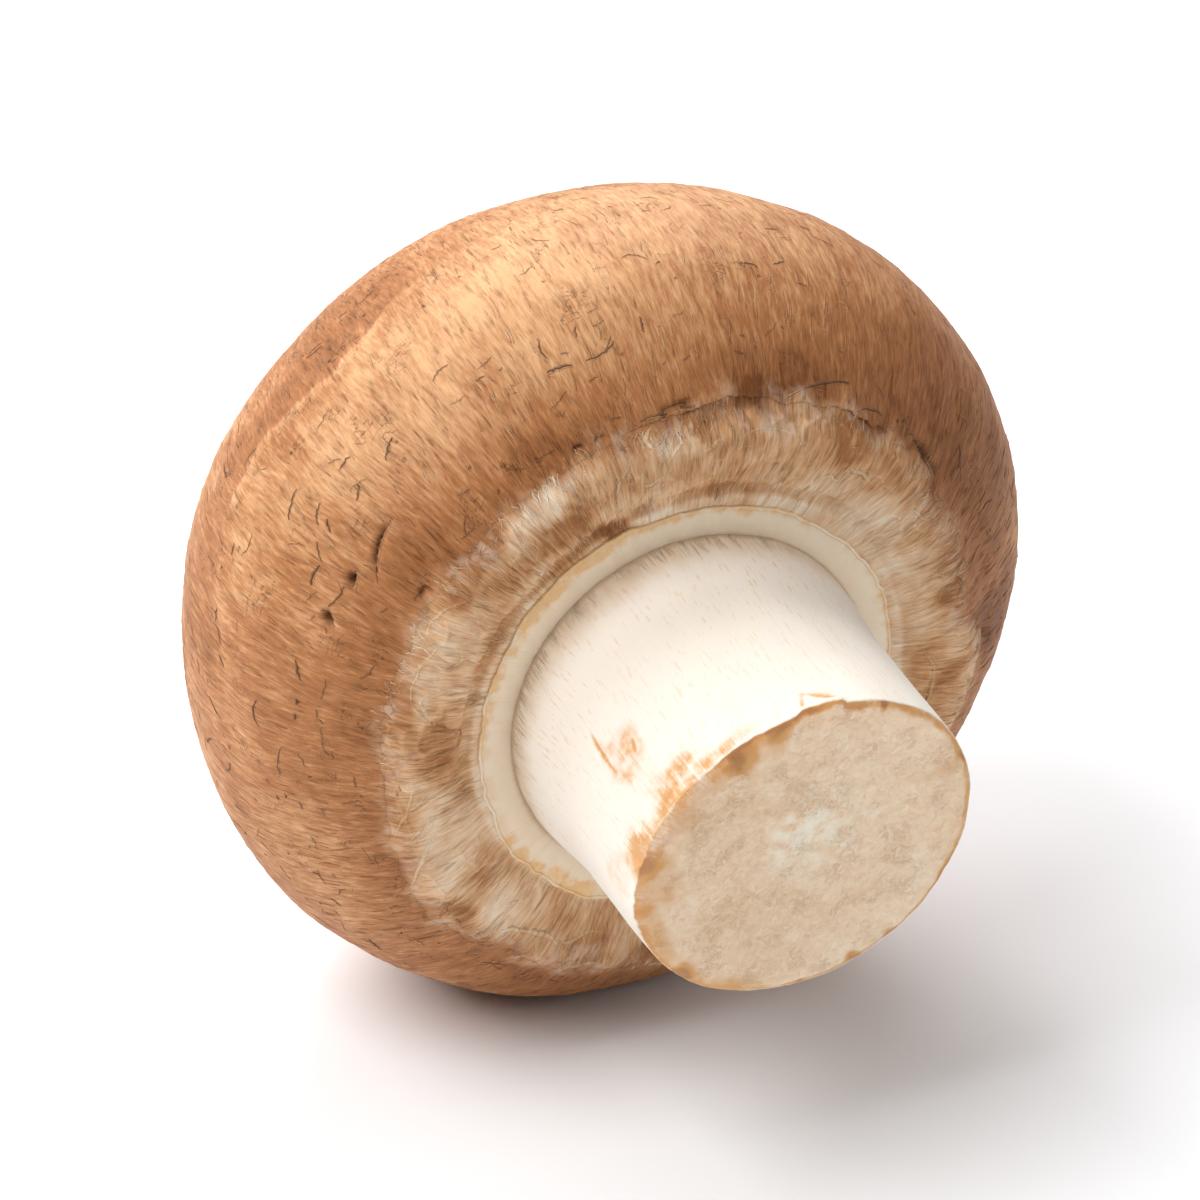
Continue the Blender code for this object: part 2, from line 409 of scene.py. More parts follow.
class Graph:
    """A material's node tree, written from Python."""

    def __init__(self, name: str) -> None:
        """Starts an empty material.

        Args:
            name: the material's name.
        """
        self.material = bpy.data.materials.new(name)
        self.material.use_nodes = True
        self.tree = self.material.node_tree
        self.tree.nodes.clear()

    def node(
        self,
        kind: str,
        settings: Mapping[str, object],
        inputs: Mapping[str, object],
        output: str | None = None,
    ) -> Wire:
        """Adds any node.

        Args:
            kind: its type name.
            settings: properties that are set first. "stops" are a ramp's (position, colour) pairs.
            inputs: values or wires by socket name or identifier.
            output: the name or identifier of the output, or the first one.

        Returns:
            The wire of that output.
        """
        made = self.tree.nodes.new(kind)
        for setting, value in settings.items():
            if setting == "stops":
                self._stops(made.color_ramp.elements, value)
            else:
                setattr(made, setting, value)
        for name, value in inputs.items():
            socket = self._socket(made.inputs, name)
            if isinstance(value, Wire):
                self.tree.links.new(value.socket, socket)
            elif isinstance(value, tuple) and len(value) == 3 and socket.type == "RGBA":
                socket.default_value = (*value, 1.0)
            else:
                socket.default_value = value
        found = self._socket(made.outputs, output) if output else next(o for o in made.outputs if o.enabled)
        return Wire(self, found)

    @staticmethod
    def _socket(sockets: Sequence[bpy.types.NodeSocket], name: str) -> bpy.types.NodeSocket:
        """Finds a socket.

        Args:
            sockets: a node's inputs or outputs.
            name: an identifier or a name.

        Returns:
            The socket with that identifier, or else the one in use with that name.
        """
        for socket in sockets:
            if socket.identifier == name:
                return socket
        return next(socket for socket in sockets if socket.name == name and socket.enabled)

    @staticmethod
    def _stops(elements: bpy.types.ColorRampElements, stops: Sequence[tuple[float, Colour]]) -> None:
        """Gives a ramp its stops.

        Args:
            elements: the ramp's own stops, two of them at first.
            stops: positions and colours.
        """
        while len(elements) < len(stops):
            elements.new(0.5)
        for element, (position, colour) in zip(elements, stops):
            element.position = position
            element.color = (*colour, 1.0)

    def maths(self, operation: str, first: Value, second: Value) -> Wire:
        """A Math node on two values."""
        return self.node("ShaderNodeMath", {"operation": operation}, {"Value": first, "Value_001": second})

    def trait(self, name: str, output: str = "Fac") -> Wire:
        """What the mesh carries at its points, as a number or as a vector."""
        return self.node("ShaderNodeAttribute", {"attribute_name": name}, {}, output)

    def fibre(self) -> Wire:
        """The fibre trait."""
        return self.trait("fibre", "Vector")

    def place(self) -> Wire:
        """The point's place in the object."""
        return self.node("ShaderNodeTexCoord", {}, {}, "Object")

    def scaled(self, vector: Wire, scale: Triple) -> Wire:
        """A vector times a scale for each axis."""
        inputs = {"Vector": vector, "Vector_001": scale}
        return self.node("ShaderNodeVectorMath", {"operation": "MULTIPLY"}, inputs)

    def noise(
        self, vector: Wire, scale: float, detail: float = 2.0, rough: float = 0.5, warp: float = 0.0
    ) -> Wire:
        """Noise from 0 to 1 at a vector, with its count of layers, their strength and how far it is bent."""
        inputs = {"Vector": vector, "Scale": scale, "Detail": detail, "Roughness": rough, "Distortion": warp}
        return self.node("ShaderNodeTexNoise", {}, inputs, "Fac")

    def strands(
        self, fibre: Wire, across: float, down: float, detail: float, rough: float = 0.5, warp: float = 0.0
    ) -> Wire:
        """Noise with this many cells across the fibres in a radian and down them in ten millimetres."""
        return self.noise(self.scaled(fibre, (across, across, down)), 1.0, detail, rough, warp)

    def ramp(self, level: Wire, stops: Sequence[tuple[float, Colour]]) -> Wire:
        """A colour that runs through the stops as the level rises."""
        return self.node("ShaderNodeValToRGB", {"stops": stops}, {"Fac": level}, "Color")

    def cells(self, vector: Wire, scale: float, output: str = "Distance") -> Wire:
        """Distance to the nearest of scattered points, or its random colour."""
        return self.node("ShaderNodeTexVoronoi", {}, {"Vector": vector, "Scale": scale}, output)

    def mix(self, share: Value, first: Wire | Colour, second: Wire | Colour) -> Wire:
        """Two colours mixed by a share of the second."""
        inputs = {"Factor_Float": share, "A_Color": first, "B_Color": second}
        return self.node("ShaderNodeMix", {"data_type": "RGBA"}, inputs, "Result_Color")

    def bump(self, height: Wire, distance: float, strength: float) -> Wire:
        """A surface normal from a height.

        Args:
            height: 0 to 1.
            distance: what 1 stands for, in metres.
            strength: how much of it counts.

        Returns:
            The normal.
        """
        inputs = {"Height": height, "Distance": distance, "Strength": strength}
        return self.node("ShaderNodeBump", {}, inputs, "Normal")

    def finish(self, varying: Mapping[str, object], constant: Mapping[str, object]) -> Finish:
        """Adds the surface shader and the output.

        Args:
            varying: what changes over the surface.
            constant: values that are the same all over, set on the shader's own sockets.

        Returns:
            The finished material.
        """
        surface = self.node("ShaderNodeBsdfPrincipled", {}, {**varying, **constant}, "BSDF")
        output = self.tree.nodes.new("ShaderNodeOutputMaterial")
        self.tree.links.new(surface.socket, output.inputs["Surface"])
        return self.material


# ---- the mushroom's form


@dataclass(frozen=True)
class CapForm:
    """The cap's plain surface, before any relief: crown, rolled margin and underside, as far as the collar.

    Crest and veil_foot are (radius, height) of the underside's highest line and of its end at the collar.
    Each lobe is (count, share of the radius, angle), and the widest line leans by lean millimetres.
    """

    radius: float = 24.0
    crown_height: float = 18.0
    margin_depth: float = 15.8
    squareness: float = 2.15
    roll_end: float = 18.4
    crest: Pair = (16.3, 12.15)
    veil_foot: Pair = (11.4, 11.25)
    lobes: Rows = ((2, 0.0074, 41.0), (3, 0.0111, 18.0))
    lean: float = 1.0
    lean_towards: float = 122.0

    def _outline(self, share: Array, depth: float) -> Array:
        """The outline above or below the widest line.

        Args:
            share: shares of a quarter turn from the widest line.
            depth: how far the outline goes down, or up if it is negative.

        Returns:
            Radii and heights on x^n + y^n = 1, stretched to the size.
        """
        across, down = np.cos(share * math.pi / 2.0), np.sin(share * math.pi / 2.0)
        reach = (across**self.squareness + down**self.squareness) ** (-1.0 / self.squareness)
        return np.stack([self.radius * across * reach, depth * down * reach], axis=-1)

    @staticmethod
    def _bridge(start: Array, leave: Array, end: Array, arrive: Array) -> Array:
        """A smooth curve between two points.

        Args:
            start: the first point, which is left out.
            leave: the direction and speed there.
            end: the last point.
            arrive: the direction and speed there.

        Returns:
            Points on the cubic that has them.
        """
        t = np.linspace(0.0, 1.0, 200)[1:, None]
        ends = start * (2 * t**3 - 3 * t**2 + 1) + end * (3 * t**2 - 2 * t**3)
        return ends + leave * (t**3 - 2 * t**2 + t) + arrive * (t**3 - t**2)

    @cached_property
    def meridian(self) -> tuple[Array, Array, Array]:
        """The line that is turned about the axis.

        Returns:
            Length along, radius and height of points from the crown's middle: the two outlines, a curve over
            the margin to the crest, and one down to the collar.
        """
        crown = self._outline(np.linspace(1.0, 0.0, 1500), -self.crown_height)
        margin = self._outline(np.linspace(0.0, 1.0, 1500)[1:], self.margin_depth)
        margin = margin[margin[:, 0] > self.roll_end]
        crest, foot = np.array(self.crest), np.array(self.veil_foot)
        step = margin[-1] - margin[-2]
        first = np.linalg.norm(crest - margin[-1])
        second = np.linalg.norm(foot - crest)
        over = self._bridge(margin[-1], step / np.linalg.norm(step) * first, crest, np.array([-first, 0.0]))
        down = self._bridge(crest, np.array([-second, 0.0]), foot, np.array([-0.9, -0.3]) * second)
        line = np.concatenate([crown, margin, over, down])
        along = np.concatenate([[0.0], np.cumsum(np.linalg.norm(np.diff(line, axis=0), axis=1))])
        return along, line[:, 0], line[:, 1]

    def radius_at(self, along: Array) -> Array:
        """Distance from the axis at a length along the meridian."""
        lengths, radii, _ = self.meridian
        return np.interp(along, lengths, radii)

    def at(self, around: Array, along: Array) -> Array:
        """The surface's points.

        Args:
            around: angle about the axis.
            along: length down the meridian.

        Returns:
            The meridian turned about the axis, swelled by 2 and 3 lobes and leaned to one side, more towards
            the widest line.
        """
        lengths, radii, heights = self.meridian
        radius, height = np.interp(along, lengths, radii), np.interp(along, lengths, heights)
        uneven = smooth(11.0, 24.0, radius)
        swell = 1.0 + uneven * sum(
            share * np.cos(count * (around - math.radians(first))) for count, share, first in self.lobes
        )
        tilt = uneven * self.lean * np.cos(around - math.radians(self.lean_towards))
        out = radius * swell
        return np.stack([out * np.cos(around), out * np.sin(around), height + tilt], axis=-1)

    @staticmethod
    def swells(place: Array) -> Array:
        """Slow unevenness of the flesh, in millimetres, that the skin and the veil both follow."""
        grain = Grain(Pattern.FLESH)
        return 0.16 * grain.at(place / 9.0) + 0.07 * grain.at(place / 3.6 + 31.0)

    def frame_at(self, around: Array, along: Array) -> tuple[Array, Array, Array]:
        """The surface's points and directions.

        Args:
            around: angle about the axis.
            along: length down the meridian.

        Returns:
            The points, the directions down the meridian and the outward normals, from small steps.
        """
        around, along = np.broadcast_arrays(around, along)
        step, twist = 0.02, 0.002
        down = self.at(around, along + step) - self.at(around, along - step)
        across = self.at(around + twist, along) - self.at(around - twist, along)
        down /= np.linalg.norm(down, axis=-1, keepdims=True)
        normal = np.cross(across, down)
        normal /= np.linalg.norm(normal, axis=-1, keepdims=True) + TINY
        return self.at(around, along), down, normal


FORM = CapForm()


@dataclass(frozen=True)
class Patch:
    """A soft blotch. On the cap an amount above 0 is paler and below 0 browner; on the stem it is brown."""

    around: float
    along: float
    half_turn: float
    half_length: float
    amount: float

    def cover(self, around: Array, along: Array) -> Array:
        """How much of the blotch is at each point.

        Args:
            around: angle about the axis.
            along: length down the meridian.

        Returns:
            The amount, times e to minus the cube of the distance from the middle in half widths.
        """
        across = np.degrees(np.angle(np.exp(1j * (around - math.radians(self.around))))) / self.half_turn
        down = (along - self.along) / self.half_length
        return self.amount * np.exp(-((across**2 + down**2) ** 1.5))


def patched(patches: Rows, around: Array, along: Array, place: Array) -> Array:
    """All blotches together, with their outlines made ragged by noise.

    Args:
        patches: the fields of each blotch.
        around: angle about the axis.
        along: length down the meridian.
        place: the points themselves.

    Returns:
        The sum of what they add at each point.
    """
    grain = Grain(Pattern.RAGGED_OUTLINE)
    ragged_around = around + 0.045 * grain.layers(place / 1.7, 3)
    ragged_along = along + 0.6 * grain.layers(place / 2.1 + 40.0, 3)
    return sum(Patch(*row).cover(ragged_around, ragged_along) for row in patches)


@dataclass(frozen=True)
class Mark:
    """A pit or scratch: a short bent line, dark, and pressed in by its depth."""

    around: float
    along: float
    length: float
    width: float
    depth: float
    slant: float = 0.0
    bend: float = 0.0

    def cover(self, around: Array, along: Array, radius: Array) -> Array:
        """How much of the mark is at each point.

        Args:
            around: angle about the axis.
            along: length down the meridian.
            radius: distance from the axis there.

        Returns:
            0 to 1: a bell across the mark's bent line, times a rounded fall towards its two ends.
        """
        across = np.angle(np.exp(1j * (around - math.radians(self.around)))) * radius
        down = along - self.along
        tilt = math.radians(self.slant)
        line = across * math.cos(tilt) + down * math.sin(tilt)
        off = down * math.cos(tilt) - across * math.sin(tilt) - self.bend * line**2
        return np.exp(-((off / self.width) ** 2)) * np.exp(-((2.0 * line / self.length) ** 4))


# Blotches of the veil's own colour, except the two thin rows near 51.9 along, at about 80 and 140 degrees,
# which paint shade into the groove outside the collar.
VEIL_PATCHES = (
    (60, 47.9, 4.5, 0.9, -0.7), (76, 48.9, 9, 0.9, -0.2), (95, 47.8, 4, 1.1, 0.5),
    (123, 47.7, 10, 0.8, 0.45), (123, 49.7, 12, 0.9, -0.3), (134, 50.9, 7, 0.6, 0.3),
    (158, 49.9, 12, 1.7, 0.4), (175, 50, 6.5, 1.6, -0.5), (200, 49.6, 12, 2.2, 0.45),
    (218.5, 47.6, 3, 1.4, -0.8), (224, 50, 8, 2, 0.5), (240, 50.2, 7, 1.8, -0.1), (138, 47.3, 8, 1, -0.9),
    (167, 47.4, 6, 0.8, -0.4), (80, 51.9, 22, 0.3, -0.2), (111.5, 52.1, 5, 0.6, -1.1),
    (140, 51.85, 30, 0.3, -0.25), (25, 51.9, 34, 0.9, 0.35), (14, 49.2, 4, 1.3, -0.45),
    (45, 51, 34, 1.6, 0.4), (-10, 49, 9, 1, -0.35), (262, 48.6, 5, 1.2, -0.5), (286, 50.4, 12, 1.5, 0.3),
    (312, 49, 7, 1.4, -0.4),
)


@dataclass(frozen=True)
class CapSkin:
    """The cap's brown skin, from the crown to the ragged edge over the veil.

    The terrace is a line of (angle, length along), where the skin steps up a little. Marks and patches are
    rows of the fields of Mark and Patch.
    """

    form: CapForm = FORM
    turns: int = 640
    crown_rows: int = 44
    margin_rows: int = 104
    crown_end: float = 25.0
    edge: float = 46.7
    edge_wander: float = 0.5
    flap_lift: float = 0.22
    terrace: Rows = (
        (100, 28), (119, 31), (126, 32.1), (133, 32.9), (139, 32.1), (145, 31.6), (152, 32.1), (158, 32.4),
        (166, 33.9), (174, 35.9), (190, 38),
    )
    terrace_height: float = 0.09
    marks: Rows = (
        (151.5, 42.2, 0.7, 0.24, 0.8, 30), (147, 46.1, 0.6, 0.26, 0.8),
        (158.5, 41.9, 0.8, 0.24, 0.8, 50, 0.3), (145, 42.4, 2.6, 0.15, 0.5, 20, 0.12),
        (218.5, 47.4, 2.2, 0.34, 0.5, 78), (112, 46, 0.6, 0.22, 0.5), (108, 46.1, 0.6, 0.22, 0.5),
        (94, 45.9, 1.6, 0.22, 0.4, 8), (53.5, 46.7, 0.9, 0.25, 0.6, 20), (41, 46.3, 2.4, 0.26, 0.35, -18),
        (61, 48, 1.2, 0.4, 0.5, 10), (-2, 46.4, 1.8, 0.4, 0.4, 62),
    )
    # Besides the skin's own blotches, the pale rows at the upper left and top are partly a painted highlight,
    # and the dark rows along the edge, by the tear, on the right and below are partly painted shade.
    patches: Rows = (
        (120, 37.5, 28, 5, 1.5), (88, 32.5, 24, 5.5, 1.4), (160, 35.5, 12, 3, 0.5),
        (136, 28.5, 17, 4.2, -0.5), (77, 46, 8, 0.9, -3.4), (76, 44.4, 10, 1.5, -1),
        (143, 44.6, 6, 1.8, -0.9), (175, 44.8, 3.5, 2.2, -0.8), (118, 45.4, 14, 1.1, -0.6),
        (138, 47, 8, 1, -0.8), (59, 47.2, 5, 1.1, -1.6), (-1, 44.5, 9, 4, -1.6), (7.5, 45.5, 1.8, 2.6, 1.3),
        (36, 42, 20, 4.5, -1.5), (203, 41, 14, 4, 0.9), (262, 42, 10, 4, -0.6), (310, 38, 12, 4, 0.5),
        (335, 33, 9, 4, -0.5),
    )

    def edge_at(self, around: Array) -> Array:
        """Where the skin ends over the veil.

        Args:
            around: angles about the axis.

        Returns:
            The length along: a ragged line, drawn back where it is torn and further in at two sides.
        """
        ragged = Grain(Pattern.SKIN_EDGE)
        slow = ragged.at(strand_space(around, np.zeros_like(around), 3.2, 1.0))
        fine = ragged.layers(strand_space(around, np.full_like(around, 9.0), 14.0, 1.0), 3)
        torn = 0.5 * turn_between(62.0, 100.0, 12.0, around)
        inwards = 1.2 * turn_between(8.0, 34.0, 12.0, around) + 0.7 * turn_between(236.0, 262.0, 10.0, around)
        return self.edge + self.edge_wander * (slow + 0.55 * fine) - torn + inwards

    def lift_at(self, around: Array) -> Array:
        """How far the skin's edge stands off the veil.

        Args:
            around: angles about the axis.

        Returns:
            Millimetres: uneven, and most at the tear.
        """
        torn = turn_between(60.0, 97.0, 9.0, around)
        loose = Grain(Pattern.LOOSE_EDGE).at(strand_space(around, np.zeros_like(around), 4.5, 1.0))
        flap = self.flap_lift * torn * (0.4 + 0.9 * np.clip(loose + 0.2, 0.0, 1.0))
        return flap + 0.05 * np.clip(loose, 0.0, 1.0)

    def past_terrace(self, around: Array, along: Array) -> tuple[Array, Array]:
        """The line at the upper left where the looser skin begins.

        Args:
            around: angle about the axis.
            along: length down the meridian.

        Returns:
            Millimetres past the line, which drifts and wavers with the angle; and how much of it there is.
        """
        angles, heights = np.array(self.terrace).T
        line = np.interp(np.degrees(around) % 360.0, angles, heights)
        line = line + 0.3 * Grain(Pattern.TERRACE).layers(strand_space(around, along * 0.0, 14.0, 1.0), 3)
        there = turn_between(119.0, 153.0, 3.0, around) + 0.35 * turn_between(157.0, 174.0, 6.0, around)
        return along - line, there

    def tint_and_painted_light_at(self, around: Array, along: Array) -> Array:
        """How much paler (above 0) or browner (below 0) the skin is.

        Args:
            around: angle about the axis.
            along: length down the meridian.

        Returns:
            The broad patches and clouds; a painted highlight along the terrace's step with painted shade just
            before it; a browner margin that is partly the skin's own colour and partly painted shade.
        """
        place = self.form.at(around, along)
        past, there = self.past_terrace(around, along)
        # Painted shade just before the terrace's step, and a painted highlight where the step's edge catches
        # the light.
        shade = 0.45 * between(-2.5, -0.1, 1.2, past) * smooth(0.1, -0.1, past)
        crest = there * (0.7 * between(0.0, 0.5, 0.4, past) - shade)
        # The browner margin is partly the skin's own colour and partly painted shade.
        margin = smooth(39.5, 46.0, along)
        cloud = Grain(Pattern.SKIN_TINT).layers(place / 5.5, 2)
        return crest - 0.8 * margin + patched(self.patches, around, along, place) + 0.35 * cloud

    def bloom_and_groove_shade_at(self, around: Array, along: Array) -> Array:
        """How pale the cottony veil is.

        Args:
            around: angle about the axis.
            along: length down the meridian.

        Returns:
            0 to 1, in ragged blotches: browner along the skin's edge, with painted shade in the groove
                                        outside
            the collar, paler at the collar.
        """
        place = self.form.at(around, along)
        hidden_side = turn_between(-100.0, -40.0, 30.0, around)
        cloud = Grain(Pattern.VEIL_BLOOM).layers(place / 2.6, 3)
        by_skin = 1.0 - smooth(0.3, 2.4, along - self.edge_at(around))
        thin = 0.26 * by_skin - 0.38 * smooth(52.1, 52.45, along)
        pale = 0.44 + patched(VEIL_PATCHES, around, along, place) + (0.26 + 0.14 * hidden_side) * cloud
        return np.clip(pale - thin, 0.0, 1.0)

    def traits(self, around: Array, along: Array, dark: Array, tone: Array) -> dict[str, Array]:
        """What the cap's finish reads at each point, for the skin, the veil and their strands.

        Args:
            around: angle about the axis.
            along: length down the meridian.
            dark: how much of a mark is there, 0 to 1.
            tone: how pale a strand is against its neighbours, about -2 to 2.

        Returns:
            The named values: besides these, the direction of the fibres, the way to the skin's edge, and the
            broad patches of skin and veil with their painted light and shade.
        """
        around, along = np.broadcast_arrays(around, along)
        place = self.form.at(around, along)
        return {
            "fibre": fibre_space(around + 0.012 * Grain(Pattern.FIBRE_SWAY).at(place / 4.0), along),
            "to_edge": self.edge_at(around) - along,
            "crown": 1.0 - smooth(8.0, 20.0, along),
            "dark": dark + np.zeros_like(along),
            "tone": tone + np.zeros_like(along),
            "tint_and_painted_light": self.tint_and_painted_light_at(around, along),
            "bloom_and_groove_shade": self.bloom_and_groove_shade_at(around, along),
        }

    def relief(self, around: Array, along: Array) -> tuple[Array, Array]:
        """The skin's height over the plain form, and its darkness.

        Args:
            around: angle about the axis.
            along: length down the meridian.

        Returns:
            Height in millimetres: slow lumps, drawn-out fibre ridges of two widths, the terrace and the
            lifted edge, less the pits. Darkness from 0 to 1: the pits.
        """
        around, along = np.broadcast_arrays(around, along)
        radius = self.form.radius_at(along)
        grain = Grain(Pattern.FLESH)
        place = self.form.at(around, along)
        sway = around + 0.012 * grain.at(place / 6.0 + 7.0)
        calm = turn_between(84.0, 132.0, 26.0, around) * between(33.0, 46.0, 4.0, along)
        rough = (0.35 + 0.65 * smooth(16.0, 30.0, along)) * (1.0 - 0.45 * calm)
        wide = grain.at(strand_space(sway, along, 30.0, 2.6))
        fine = grain.at(strand_space(sway, along, 70.0, 1.5) + 5.0)
        height = self.form.swells(place) + rough * (0.035 * wide + 0.022 * fine)
        past, there = self.past_terrace(around, along)
        height += self.terrace_height * there * smooth(-0.15, 0.15, past) * (1.0 - smooth(0.8, 4.0, past))
        to_edge = self.edge_at(around) - along
        height += self.lift_at(around) * (1.0 - smooth(0.0, 1.6, to_edge))
        height -= 0.04 * (1.0 - smooth(0.0, 0.5, to_edge))
        dark = np.zeros_like(height)
        for mark in (Mark(*row) for row in self.marks):
            cover = mark.cover(around, along, radius)
            height -= mark.depth * cover
            dark = np.maximum(dark, cover)
        return height, dark

    def build(self, finish: Finish) -> Piece:
        """Makes the skin as a closed body: outer face, rounded edge, and a hidden back over the veil's seat.

        Args:
            finish: the skin's material.

        Returns:
            The piece.
        """
        around = full_turn(self.turns)
        crown = np.linspace(0.15, self.crown_end, self.crown_rows)
        share = np.linspace(0.0, 1.0, self.margin_rows + 1)[1:]
        edge = self.edge_at(around)
        margin = self.crown_end + share[:, None] * (edge[None, :] - self.crown_end)
        along = np.vstack([np.repeat(crown[:, None], self.turns, axis=1), margin])
        turn = np.repeat(around[None, :], len(along), axis=0)
        place, down, normal = self.form.frame_at(turn, along)
        height, dark = self.relief(turn, along)
        outer = place + normal * height[..., None]
        brim, out, way = outer[-1], normal[-1], down[-1]
        drops = ((0.04, 0.04), (0.05, 0.10), (0.0, 0.2), (-0.35, 0.5), (-1.2, 0.95))
        under = np.stack([brim + way * ahead - out * drop for ahead, drop in drops])
        floor = np.stack([np.cos(around) * 10.0, np.sin(around) * 10.0, np.full_like(around, 8.6)], axis=-1)
        grid = np.concatenate([outer, under, floor[None]])
        extra = len(grid) - len(along)
        last = np.repeat(along[-1:], extra, axis=0)
        traits = self.traits(
            np.repeat(around[None, :], len(grid), axis=0),
            np.concatenate([along, last]),
            np.concatenate([dark, np.zeros((extra, self.turns))]),
            np.zeros(grid.shape[:2]),
        )
        return turned_piece("cap_skin", grid, traits, finish)


class Coat(Enum):
    """The layers of fibres that lie on the cap."""

    CROWN = "cap_fibres_crown"
    MARGIN = "cap_fibres_margin"
    EDGE = "cap_fibres_edge"


@dataclass(frozen=True)
class SkinFibres:
    """Fine flat fibres that lie on the skin along the meridians, some with a lifted end."""

    skin: CapSkin
    coat: Coat
    count: int
    low: float
    high: float
    length: Pair
    width: Pair
    lift: float
    seed: int
    knots: int = 6
    stray: float = 0.1

    def build(self, finish: Finish) -> Piece:
        """Makes the layer.

        Args:
            finish: the skin's material.

        Returns:
            One piece. A fibre's spine starts at a random place evenly over the area, runs down the meridian
            with a small stray and curl, and lies at the relief's height plus a low arch and a lifted tail.
        """
        draw = np.random.default_rng(self.seed)
        skin, form = self.skin, self.skin.form
        trial = draw.uniform(self.low, self.high, self.count * 3)
        keep = draw.random(self.count * 3) < form.radius_at(trial) / form.radius
        start = trial[keep][: self.count]
        count = len(start)
        way = np.linspace(0.0, 1.0, self.knots)[None, :]
        length = draw.uniform(*self.length, count)[:, None]
        around = draw.uniform(0.0, math.tau, count)[:, None]
        radius = np.maximum(form.radius_at(start), 2.0)[:, None]
        flow = 0.08 * Grain(Pattern.FIBRE_FLOW).at(form.at(around[:, 0], start) / 4.0)[:, None]
        stray = flow + draw.normal(0.0, self.stray, count)[:, None]
        curl = draw.normal(0.0, 0.06, count)[:, None]
        along = start[:, None] + length * way * np.cos(stray)
        around = around + (length * way * np.sin(stray) + curl * (way * length) ** 2 / 3.0) / radius
        if self.coat is not Coat.EDGE:
            edge = skin.edge_at(around)
            along = np.where(along > edge - 0.1, edge - 0.1, along)
        place, down, normal = form.frame_at(around, along)
        height, dark = skin.relief(around, np.minimum(along, skin.edge_at(around)))
        tail = np.where(draw.random(count) < 0.35, draw.uniform(0.3, 1.0, count), 0.0)[:, None]
        arch = -0.02 + 0.022 * np.sin(math.pi * way) + self.lift * tail * way**3
        width = draw.uniform(*self.width, count)[:, None] * np.sin(math.pi * (0.06 + 0.88 * way)) ** 0.7
        sideways = np.cross(down, normal)
        spines = place + normal * (height + arch)[..., None]
        traits = skin.traits(around, along, dark * 0.8, draw.normal(0.0, 1.0, count)[:, None])
        return strand_piece(self.coat.value, spines, sideways, normal, width, 0.3, traits, finish)


